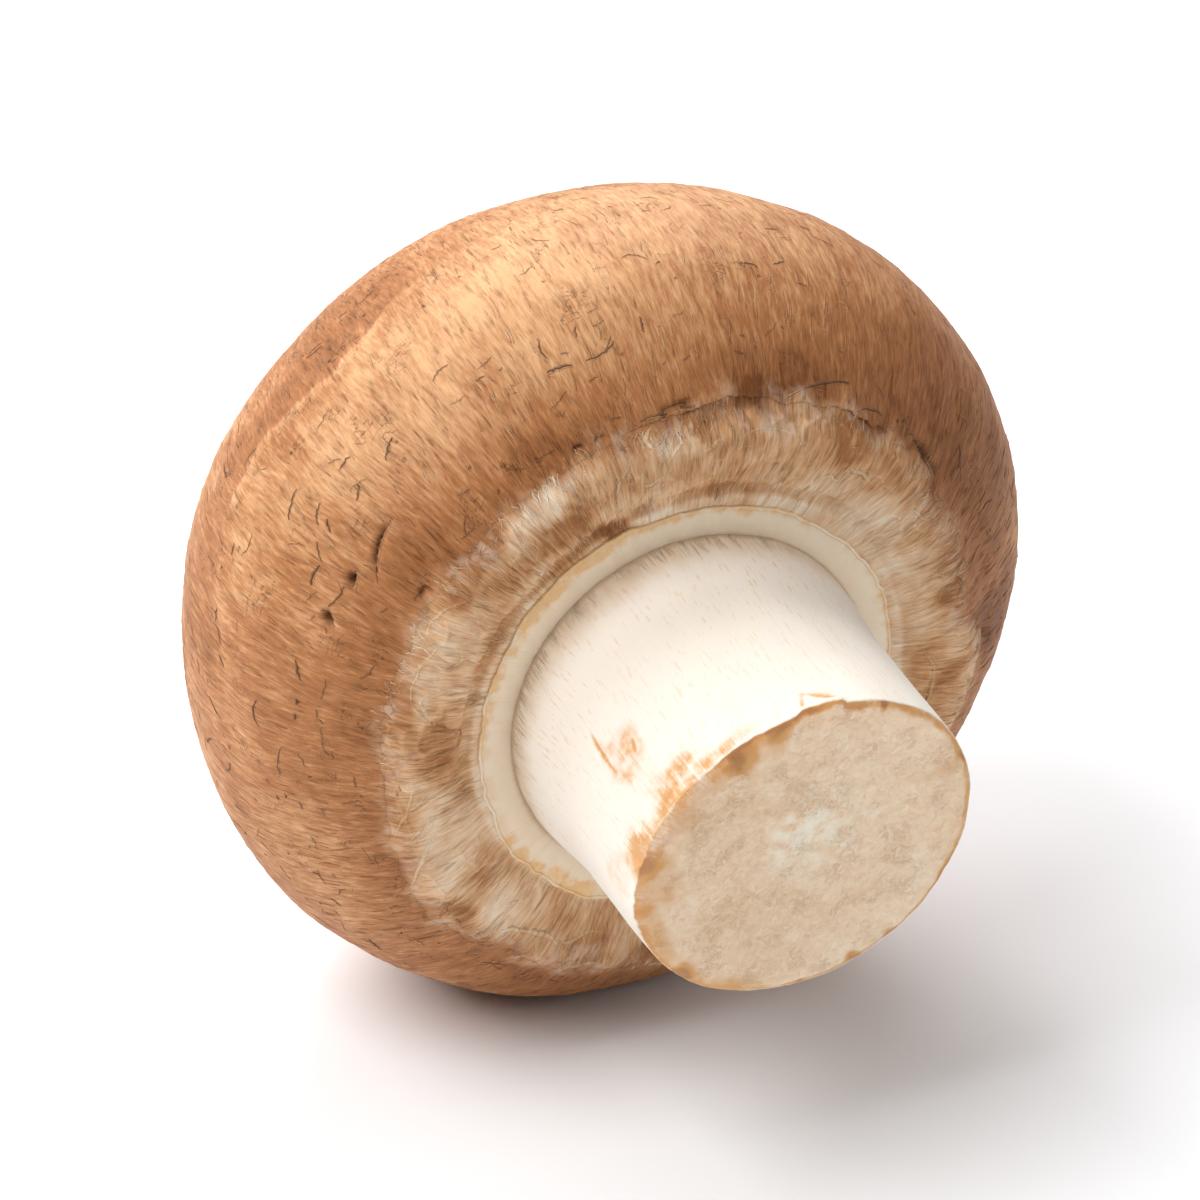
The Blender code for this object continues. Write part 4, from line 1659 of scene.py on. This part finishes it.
    def face_traits(self, around: Array, inwards: Array, spot: Array) -> dict[str, Array]:
        """What the finish reads on the cut face.

        Args:
            around: angle of each column.
            inwards: (rows, 1) ways in from the rim.
            spot: the face's points laid level.

        Returns:
            The named values. The cut's finish comes on slowly where the edge is torn. The stain is a line
            along the rim or a wash that fades inwards, whichever is more, with the knots on top.
        """
        wander = Grain(Pattern.CUT_FACE).layers(spot / 1.4 + 21.0, 3)
        line = 0.5 * (1.0 + 0.5 * wander)
        deep = 0.3 + 2.7 * turn_between(112.0, 186.0, 14.0, around)
        deep = deep + 1.2 * turn_between(195.0, 250.0, 20.0, around)
        reach = np.maximum(deep[None, :] * (1.0 + 0.7 * wander), 0.2)
        wash = 0.75 * np.clip(1.0 - inwards / reach, 0.0, 1.0)
        torn = turn_between(138.0, 188.0, 12.0, around)
        soft = (1.0 - 0.6 * torn) * (1.0 - smooth(0.4 * line, line, inwards))
        knots = patched(self.knots, around[None, :], inwards, spot * 0.6)
        return {
            "fibre": np.repeat(fibre_space(around[None], self.foot_height), len(inwards), axis=0),
            "height": self.foot_at(spot[..., 1]),
            "cut": smooth(0.0, 0.3 + 1.1 * (torn * (1.0 + wander)).clip(0.0, 1.0), inwards),
            "stain": np.clip(np.maximum(0.95 * soft, wash) + 0.8 * knots, 0.0, 1.3),
            "pith": self.pith_at(spot),
        }

    def build(self, finish: Finish) -> Piece:
        """Makes the stem as a closed body: hidden root, side, rounded rim and cut face.

        Args:
            finish: its material.

        Returns:
            The piece.
        """
        around = full_turn(self.turns)
        outline = self.radius_at(around, np.full_like(around, self.foot_height))
        end = self.foot_at(outline * np.sin(around) - self.drop)
        notch = 0.07 * Grain(Pattern.CUT_FACE).layers(strand_space(around, around * 0.0, 9.0, 1.0), 2)
        end = end + notch * (0.4 + turn_between(*self.torn, 10.0, around)) - self.rim
        share = np.linspace(0.0, 1.0, self.side_rows) ** 0.85
        height = self.root + share[:, None] * (end - self.root)
        turn = np.repeat(around[None, :], self.side_rows, axis=0)
        to_cut = end[None, :] + self.rim - height
        side = self.side(turn, height, to_cut)
        inwards = np.concatenate([[0.06, 0.16, 0.3, 0.5], np.linspace(0.75, 9.3, self.face_rows)])[:, None]
        face, spot = self.face(side[-1, :, :2], notch, inwards)
        on_side, on_face = self.side_traits(turn, height, to_cut), self.face_traits(around, inwards, spot)
        traits = {trait: np.concatenate([values, on_face[trait]]) for trait, values in on_side.items()}
        return turned_piece("stem", np.concatenate([side, face]), traits, finish)


@dataclass(frozen=True)
class Fringe:
    """Short hairs on the stem where it leaves the collar."""

    stem: Stem
    count: int = 700
    low: float = 11.4
    high: float = 12.0
    length: Pair = (0.5, 1.6)
    width: Pair = (0.02, 0.045)
    lift: float = 0.18
    seed: int = 302
    knots: int = 6

    def build(self, finish: Finish) -> Piece:
        """Makes the hairs.

        Args:
            finish: the stem's material.

        Returns:
            One piece. A hair runs along the axis on the side's relief, with a small stray, and lifts off.
        """
        draw = np.random.default_rng(self.seed)
        count, wide = self.count, self.stem.middling_radius
        way = np.linspace(0.0, 1.0, self.knots)[None, :]
        around = draw.uniform(0.0, math.tau, count)[:, None]
        start = draw.uniform(self.low, self.high, count)[:, None]
        length = draw.uniform(*self.length, count)[:, None]
        stray = draw.normal(0.0, 0.09, count)[:, None]
        curl = draw.normal(0.0, 0.05, count)[:, None]
        around = around + (length * way * np.sin(stray) + curl * way**2) / wide
        foot = self.stem.foot_at(wide * np.sin(around) - self.stem.drop)
        height = start + length * way
        spines = self.stem.side(around, height, foot - height)
        outward = np.stack([np.cos(around), np.sin(around), np.zeros_like(around)], axis=-1)
        sideways = np.stack([-np.sin(around), np.cos(around), np.zeros_like(around)], axis=-1)
        lift = draw.uniform(0.0, self.lift, count)[:, None] * way**2
        spines = spines + outward * (lift - 0.004 + 0.006 * np.sin(math.pi * way))[..., None]
        width = draw.uniform(*self.width, count)[:, None] * np.sin(math.pi * (0.08 + 0.84 * way)) ** 0.6
        traits = self.stem.side_traits(around, height, foot - height)
        return strand_piece("stem_fringe", spines, sideways, outward, width, 0.3, traits, finish)


# ---- finishes


@dataclass(frozen=True)
class SkinPaint:
    """Brown skin: pale and dark fibres along the meridians, fine dark cracks and dots, a smoother crown."""

    deep: Colour = (0.20, 0.062, 0.013)
    middle: Colour = (0.45, 0.185, 0.068)
    light: Colour = (0.79, 0.45, 0.225)
    crack: Colour = (0.095, 0.034, 0.012)

    def lay(self, graph: Graph) -> tuple[Wire, Wire]:
        """Adds the skin's pattern to a material.

        Args:
            graph: the material.

        Returns:
            Its colour, a ramp over layered noise with dark lines where a cross-wise noise is near its middle;
            and its height for bump, from the same noises.
        """
        fibre, place = graph.fibre(), graph.place()
        tone, dark, crown, tint_and_painted_light = (graph.trait(name) for name in ("tone", "dark", "crown", "tint_and_painted_light"))
        wide = graph.strands(fibre, 26.0, 3.4, 2.0)
        strand = graph.strands(fibre, 84.0, 7.5, 3.0, 0.62)
        hair = graph.strands(fibre, 210.0, 13.0, 2.0, 0.6)
        mottle = graph.noise(place, 420.0, 4.0, 0.6)
        cloud = graph.noise(place, 110.0, 3.0, 0.55)
        streaks = (strand - 0.5) * 0.7 + (hair - 0.5) * 0.5
        grain = streaks * (1.0 - crown * 0.75) + (mottle - 0.5) * (crown * 0.5 + 0.3)
        # The last term brings in the skin's patches, with painted highlight and painted shade among them.
        level = 0.53 + grain + (wide - 0.5) * 0.3 + (cloud - 0.5) * 0.35 + tone * 0.045 + tint_and_painted_light * 0.16
        stops = ((0.1, self.deep), (0.5, self.middle), (0.9, self.light))
        colour = graph.ramp(level, stops)
        crosswise = graph.strands(fibre, 24.0, 19.0, 3.0, 0.6, 0.3)
        patchy = graph.noise(place, 520.0, 1.0).rise(0.6, 0.68)
        lines = (1.0 - abs(crosswise - 0.5).rise(0.004, 0.014)) * patchy
        pick = graph.cells(place, 640.0, "Color").rise(0.62, 0.66)
        dots = graph.cells(place, 640.0).rise(0.12, 0.07) * pick
        black = graph.maths("MAXIMUM", lines * 0.45, dots * 0.45)
        black = graph.maths("MAXIMUM", black * (1.0 - crown * 0.4), dark)
        colour = graph.mix(black, colour, self.crack)
        return colour, strand * 0.6 + hair * 0.3 + mottle * 0.2 - lines * 0.7 - dots * 0.6


@dataclass(frozen=True)
class VeilPaint:
    """Cottony membrane: fine fibrils from brown through buff to off-white, in soft blotches."""

    brown: Colour = (0.37, 0.155, 0.055)
    buff: Colour = (0.62, 0.34, 0.165)
    pale: Colour = (0.80, 0.55, 0.345)
    white: Colour = (0.93, 0.80, 0.63)

    def lay(self, graph: Graph) -> tuple[Wire, Wire]:
        """Adds the veil's pattern to a material.

        Args:
            graph: the material.

        Returns:
            Its colour, a ramp over layered noise and the broad patches, with the painted shade in the groove
            outside the collar; and its height for bump.
        """
        fibre, place = graph.fibre(), graph.place()
        tone, bloom_and_groove_shade = graph.trait("tone"), graph.trait("bloom_and_groove_shade")
        strand = graph.strands(fibre, 80.0, 6.0, 3.0, 0.6, 0.3)
        hair = graph.strands(fibre, 230.0, 9.0, 2.0, 0.6)
        cloud = graph.noise(place, 340.0, 3.0, 0.6)
        # The broad patches carry the painted shade in the groove outside the collar.
        level = 0.1 + bloom_and_groove_shade * 0.72 + tone * 0.1
        level = level + (strand - 0.5) * 0.8 + (hair - 0.5) * 0.6 + (cloud - 0.5) * 0.9
        stops = ((0.05, self.brown), (0.35, self.buff), (0.65, self.pale), (1.0, self.white))
        colour = graph.ramp(level, stops)
        return colour, strand * 0.6 + hair * 0.4


@dataclass(frozen=True)
class CapFinish:
    """The cap's skin and veil, and the ragged, wispy way in which one gives way to the other."""

    skin: SkinPaint = SkinPaint()
    veil: VeilPaint = VeilPaint()
    haze: Colour = (0.84, 0.69, 0.55)
    ragged: float = 4.5

    def build(self, name: str, sheen: float) -> Finish:
        """Makes the material of the skin or of the veil.

        Args:
            name: the material's name.
            sheen: how much soft fuzz shows at grazing angles.

        Returns:
            Skin paint well before the skin's edge, veil paint well past it, and between them a share that
            follows noise drawn out along the fibres, so both pieces carry the same blotches where they meet.
        """
        graph = Graph(name)
        fibre, place, to_edge = graph.fibre(), graph.place(), graph.trait("to_edge")
        skin, skin_height = self.skin.lay(graph)
        veil, veil_height = self.veil.lay(graph)
        drawn = graph.strands(fibre, 34.0, 6.0, 4.0, 0.6, 0.3)
        tongue = graph.strands(fibre, 8.0, 2.2, 2.0)
        blotch = graph.noise(place, 520.0, 3.0, 0.55)
        way = to_edge + (drawn - 0.5) * 3.0 + (blotch - 0.5) * 2.2 + (tongue - 0.5) * self.ragged
        film = way.rise(0.9, -1.3)
        colour = graph.mix(film, skin, veil)
        wisp = (1.0 - abs(way + 0.5).rise(0.2, 1.3)) * drawn.rise(0.45, 0.62)
        colour = graph.mix(wisp * 0.35, colour, self.haze)
        height = skin_height * (1.0 - film) + veil_height * film
        varying = {
            "Base Color": colour,
            "Roughness": 0.52 + film * 0.2 + skin_height * 0.15,
            "Normal": graph.bump(height, 0.00008, 0.9),
        }
        constant = {
            "Subsurface Weight": 0.15,
            "Subsurface Radius": (1.0, 0.5, 0.28),
            "Subsurface Scale": 0.0009,
            "Specular IOR Level": 0.22,
            "Sheen Weight": sheen,
            "Sheen Roughness": 0.5,
        }
        return graph.finish(varying, constant)


@dataclass(frozen=True)
class CollarFinish:
    """Cream band with fine ridges, a browned lip and a shaded crease."""

    cream: Colour = (0.98, 0.81, 0.63)
    shade: Colour = (0.84, 0.62, 0.41)
    lip: Colour = (0.88, 0.50, 0.18)
    painted_crease_shade: Colour = (0.44, 0.29, 0.16)

    def build(self) -> Finish:
        """Makes the material.

        Returns:
            Cream with fine ridges across the band, darkened by painted shade into the crease, and thin
            flecked brown on the lip.
        """
        graph = Graph("collar")
        fibre, past_lip, place = graph.fibre(), graph.trait("past_lip"), graph.place()
        ridge = graph.strands(fibre, 150.0, 7.0, 2.0, 0.6)
        slow = graph.strands(fibre, 22.0, 3.0, 2.0)
        # Painted shade: the band darkens towards the crease.
        level = 0.68 + (ridge - 0.5) * 0.6 + (slow - 0.5) * 0.5 - past_lip.rise(1.7, 2.2) * 0.75
        stops = ((0.1, self.shade), (0.6, self.cream))
        colour = graph.ramp(level, stops)
        fleck = graph.noise(place, 1700.0, 3.0, 0.6)
        browned = graph.trait("browned") * (0.25 + fleck * 0.9)
        colour = graph.mix(browned * 0.95, colour, self.lip)
        # Painted shade in the crease itself.
        colour = graph.mix(past_lip.rise(1.85, 2.25) * 0.5, colour, self.painted_crease_shade)
        normal = graph.bump(ridge, 0.00004, 0.7)
        varying = {"Base Color": colour, "Roughness": 0.55 + ridge * 0.15, "Normal": normal}
        constant = {
            "Subsurface Weight": 0.3,
            "Subsurface Radius": (1.0, 0.7, 0.45),
            "Subsurface Scale": 0.0012,
            "Specular IOR Level": 0.3,
        }
        return graph.finish(varying, constant)


@dataclass(frozen=True)
class StemFinish:
    """Silky off-white side with brown stains; a matt granular cut face with a browned rim and a pale pith."""

    side: Colour = (0.85, 0.78, 0.69)
    side_shade_and_fleck: Colour = (0.76, 0.59, 0.41)
    painted_crease_shade: Colour = (0.44, 0.29, 0.16)
    face: Colour = (0.86, 0.65, 0.45)
    face_light: Colour = (0.96, 0.82, 0.63)
    face_dark: Colour = (0.72, 0.48, 0.28)
    pith: Colour = (0.96, 0.87, 0.71)
    stain: Colour = (0.68, 0.33, 0.085)
    stain_deep: Colour = (0.36, 0.13, 0.03)

    def lay_side(self, graph: Graph, silk: Wire) -> Wire:
        """Adds the side's colour.

        Args:
            graph: the material.
            silk: fine noise along the fibres.

        Returns:
            A ramp over fine and soft streaks, with flecks, and painted warm shade towards the collar and in
            the crease.
        """
        fibre, height = graph.fibre(), graph.trait("height")
        soft = graph.strands(fibre, 14.0, 4.0, 3.0, 0.6)
        level = 0.8 + (silk - 0.5) * 0.3 + (soft - 0.5) * 0.4
        # Painted shade: the side darkens towards the collar, more just below it.
        level = level - height.rise(15.5, 12.0) * 0.5 - height.rise(12.2, 11.6) * 0.3
        side = graph.ramp(level, ((0.15, self.side_shade_and_fleck), (0.62, self.side)))
        fleck = graph.strands(fibre, 56.0, 8.0, 3.0, 0.65).rise(0.56, 0.68)
        side = graph.mix(fleck * (0.5 + height.rise(20.0, 13.0) * 0.4), side, self.side_shade_and_fleck)
        # Painted shade in the crease under the collar.
        return graph.mix(height.rise(12.15, 11.55) * (0.3 + silk * 0.5), side, self.painted_crease_shade)

    def lay_face(self, graph: Graph, coarse: Wire, crumb: Wire) -> tuple[Wire, Wire]:
        """Adds the cut face's colour.

        Args:
            graph: the material.
            coarse: noise of the size of the flesh's clumps.
            crumb: noise of the size of its grains.

        Returns:
            A ramp over both, paler at the pith and darker in fine torn pits; and where the pits are.
        """
        place, pith = graph.place(), graph.trait("pith")
        slow = graph.noise(place, 130.0, 2.0)
        level = 0.55 + (coarse - 0.5) * 0.5 + (crumb - 0.5) * 1.1 + (slow - 0.5) * 0.5
        face = graph.ramp(level, ((0.12, self.face_dark), (0.5, self.face), (0.88, self.face_light)))
        face = graph.mix(pith * (0.3 + crumb), face, self.pith)
        torn = graph.noise(place, 1500.0, 3.0, 0.6, 1.4)
        pits = (1.0 - abs(torn - 0.5).rise(0.008, 0.05)) * graph.noise(place, 700.0, 2.0).rise(0.5, 0.62)
        return graph.mix(pits * 0.5, face, self.face_dark), pits

    def build(self) -> Finish:
        """Makes the material.

        Returns:
            Side and face by the cut's share; over them the stain, mottled and soft, orange where thin and
            brown where thick.
        """
        graph = Graph("stem_flesh")
        place, cut, stain = graph.place(), graph.trait("cut"), graph.trait("stain")
        silk = graph.strands(graph.fibre(), 110.0, 3.0, 3.0, 0.6)
        coarse = graph.noise(place, 480.0, 4.0, 0.65, 0.6)
        crumb = graph.noise(place, 2300.0, 4.0, 0.7, 0.8)
        face, pits = self.lay_face(graph, coarse, crumb)
        colour = graph.mix(cut, self.lay_side(graph, silk), face)
        mottle = 0.85 + (coarse - 0.5) * 1.6 + (crumb - 0.5) * 1.3 + (silk - 0.5) * 1.2 * (1.0 - cut)
        spread = (stain * mottle).rise(0.02, 0.85)
        brown = graph.mix(stain.rise(0.85, 1.3) * 0.75, self.stain, self.stain_deep)
        colour = graph.mix(spread * 0.9, colour, brown)
        relief = silk * (1.0 - cut) * 0.25 + (crumb * 0.9 + coarse * 0.5 - pits * 0.5) * cut
        normal = graph.bump(relief, 0.00008, 0.8)
        varying = {"Base Color": colour, "Roughness": 0.5 + silk * 0.12 + cut * 0.12, "Normal": normal}
        constant = {
            "Subsurface Weight": 0.4,
            "Subsurface Radius": (1.0, 0.75, 0.55),
            "Subsurface Scale": 0.0014,
            "Specular IOR Level": 0.3,
            "Sheen Weight": 0.08,
        }
        return graph.finish(varying, constant)


@dataclass(frozen=True)
class FloorFinish:
    """A matt white surface."""

    colour: Colour = (0.89, 0.9, 0.92)

    def build(self) -> Finish:
        """Makes the material."""
        graph = Graph("floor_white")
        return graph.finish({"Base Color": self.colour}, {"Roughness": 0.6, "Specular IOR Level": 0.2})


# ---- studio


@dataclass(frozen=True)
class Studio:
    """A pale floor, soft lights all round, most of them from the left and behind, and the camera.

    Azimuth and elevation are the camera's, in degrees from the front and above the floor. Each lamp is
    (name, azimuth, elevation, watts).
    """

    azimuth: float = -23.9
    elevation: float = 28.0
    distance: float = 0.450
    frame_width: float = 0.0663
    aim_right: float = -0.000095
    aim_up: float = -0.00041
    light_distance: float = 0.7
    light_size: float = 0.45
    lamps: tuple[tuple[str, float, float, float], ...] = (
        ("key", -84.0, 53.0, 3.9),
        ("side", -144.0, 35.0, 2.5),
        ("back", 156.0, 41.0, 3.6),
        ("fill", 36.0, 38.0, 0.95),
    )
    air: Colour = (1.0, 0.96, 0.92)
    air_light: float = 0.14
    air_seen: float = 1.0
    floor_radius: float = 0.6

    @staticmethod
    def towards(azimuth: float, elevation: float) -> Vector:
        """The direction at an azimuth and an elevation, in degrees."""
        turn, tilt = math.radians(azimuth), math.radians(elevation)
        return Vector((math.sin(turn) * math.cos(tilt), -math.cos(turn) * math.cos(tilt), math.sin(tilt)))

    def camera(self) -> None:
        """Places the camera to look at the middle of the cap's widest line."""
        back = self.towards(self.azimuth, self.elevation)
        turn = math.radians(self.azimuth)
        right = Vector((math.cos(turn), math.sin(turn), 0.0))
        up = back.cross(right)
        middle = Vector(PLACING.origin) * MILLIMETRE
        target = middle + right * self.aim_right + up * self.aim_up
        lens = bpy.data.cameras.new("camera")
        lens.lens = 36.0 * self.distance / self.frame_width
        lens.clip_start = 0.01
        holder = bpy.data.objects.new("camera", lens)
        facing = Matrix((right, up, back)).transposed()
        holder.matrix_world = Matrix.Translation(target + back * self.distance) @ facing.to_4x4()
        bpy.context.scene.collection.objects.link(holder)
        bpy.context.scene.camera = holder

    def light(self, name: str, azimuth: float, elevation: float, power: float) -> None:
        """A square soft light that looks at the mushroom.

        Args:
            name: its name.
            azimuth: degrees from the front, towards the right.
            elevation: degrees above the floor.
            power: in watts.
        """
        lamp = bpy.data.lights.new(name, "AREA")
        lamp.size, lamp.energy = self.light_size, power
        holder = bpy.data.objects.new(name, lamp)
        way = self.towards(azimuth, elevation)
        facing = way.to_track_quat("Z", "Y").to_matrix().to_4x4()
        holder.matrix_world = Matrix.Translation(way * self.light_distance) @ facing
        bpy.context.scene.collection.objects.link(holder)

    def floor(self, finish: Finish) -> None:
        """A round level floor at height 0.

        Args:
            finish: its material.
        """
        edge = full_turn(96)
        corners = np.stack([np.cos(edge), np.sin(edge), np.zeros_like(edge)], axis=1) * self.floor_radius
        mesh = bpy.data.meshes.new("floor")
        mesh.from_pydata(corners.tolist(), [], [tuple(range(len(corners)))])
        mesh.materials.append(finish)
        surface = bpy.data.objects.new("floor", mesh)
        bpy.context.scene.collection.objects.link(surface)

    def surroundings(self) -> None:
        """Even light from all round, which looks brighter to the camera than it shines."""
        world = bpy.data.worlds.new("surroundings")
        world.use_nodes = True
        nodes, links = world.node_tree.nodes, world.node_tree.links
        back = nodes["Background"]
        back.inputs["Color"].default_value = (*self.air, 1.0)
        rays, level = nodes.new("ShaderNodeLightPath"), nodes.new("ShaderNodeMapRange")
        level.inputs["To Min"].default_value = self.air_light
        level.inputs["To Max"].default_value = self.air_seen
        links.new(rays.outputs["Is Camera Ray"], level.inputs["Value"])
        links.new(level.outputs["Result"], back.inputs["Strength"])
        bpy.context.scene.world = world

    def build(self) -> None:
        """Sets up the floor, lights, camera and the way brightness is shown."""
        self.floor(FloorFinish().build())
        self.camera()
        for lamp in self.lamps:
            self.light(*lamp)
        self.surroundings()
        bpy.context.scene.view_settings.view_transform = "Standard"


# ---- the whole


def settle(piece: Piece, slot: str, *nodes: str) -> None:
    """Lets a piece move with the one body and stand for CAD nodes.

    Args:
        piece: the piece.
        slot: the material slot; not used.
        nodes: the CAD nodes that it stands for, if any.
    """
    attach(piece, "root")
    if nodes:
        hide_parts(*nodes)


def main() -> None:
    """Builds the mushroom and its studio, and reports each piece."""
    logging.basicConfig(level=logging.INFO, format="%(message)s")
    skin, brown = CapSkin(), CapFinish().build("cap_skin", 0.02)
    settle(skin.build(brown), "cap_skin", "cap")
    coats = (
        SkinFibres(skin, Coat.CROWN, 1500, 3.0, 27.0, (0.7, 1.8), (0.07, 0.14), 0.02, 101),
        SkinFibres(skin, Coat.MARGIN, 4200, 25.0, 46.0, (0.7, 2.0), (0.06, 0.14), 0.05, 102),
        SkinFibres(skin, Coat.EDGE, 900, 44.5, 47.4, (0.5, 1.5), (0.04, 0.09), 0.04, 103, stray=0.25),
    )
    for coat in coats:
        settle(coat.build(brown), "cap_skin")
    settle(SkinCracks(skin).build(brown), "cap_skin")
    veil, cotton = Veil(skin), CapFinish().build("veil_membrane", 0.06)
    settle(veil.build(cotton), "veil_membrane", "veil")
    for detail in (Folds(veil), VeilThreads(veil), Wisps(veil)):
        settle(detail.build(cotton), "veil_membrane")
    settle(Collar().build(CollarFinish().build()), "veil_membrane")
    stem, flesh = Stem(), StemFinish().build()
    settle(stem.build(flesh), "stem_flesh", "stem")
    settle(Fringe(stem).build(flesh), "stem_flesh")
    Studio().build()


if __name__ == "__main__":
    main()
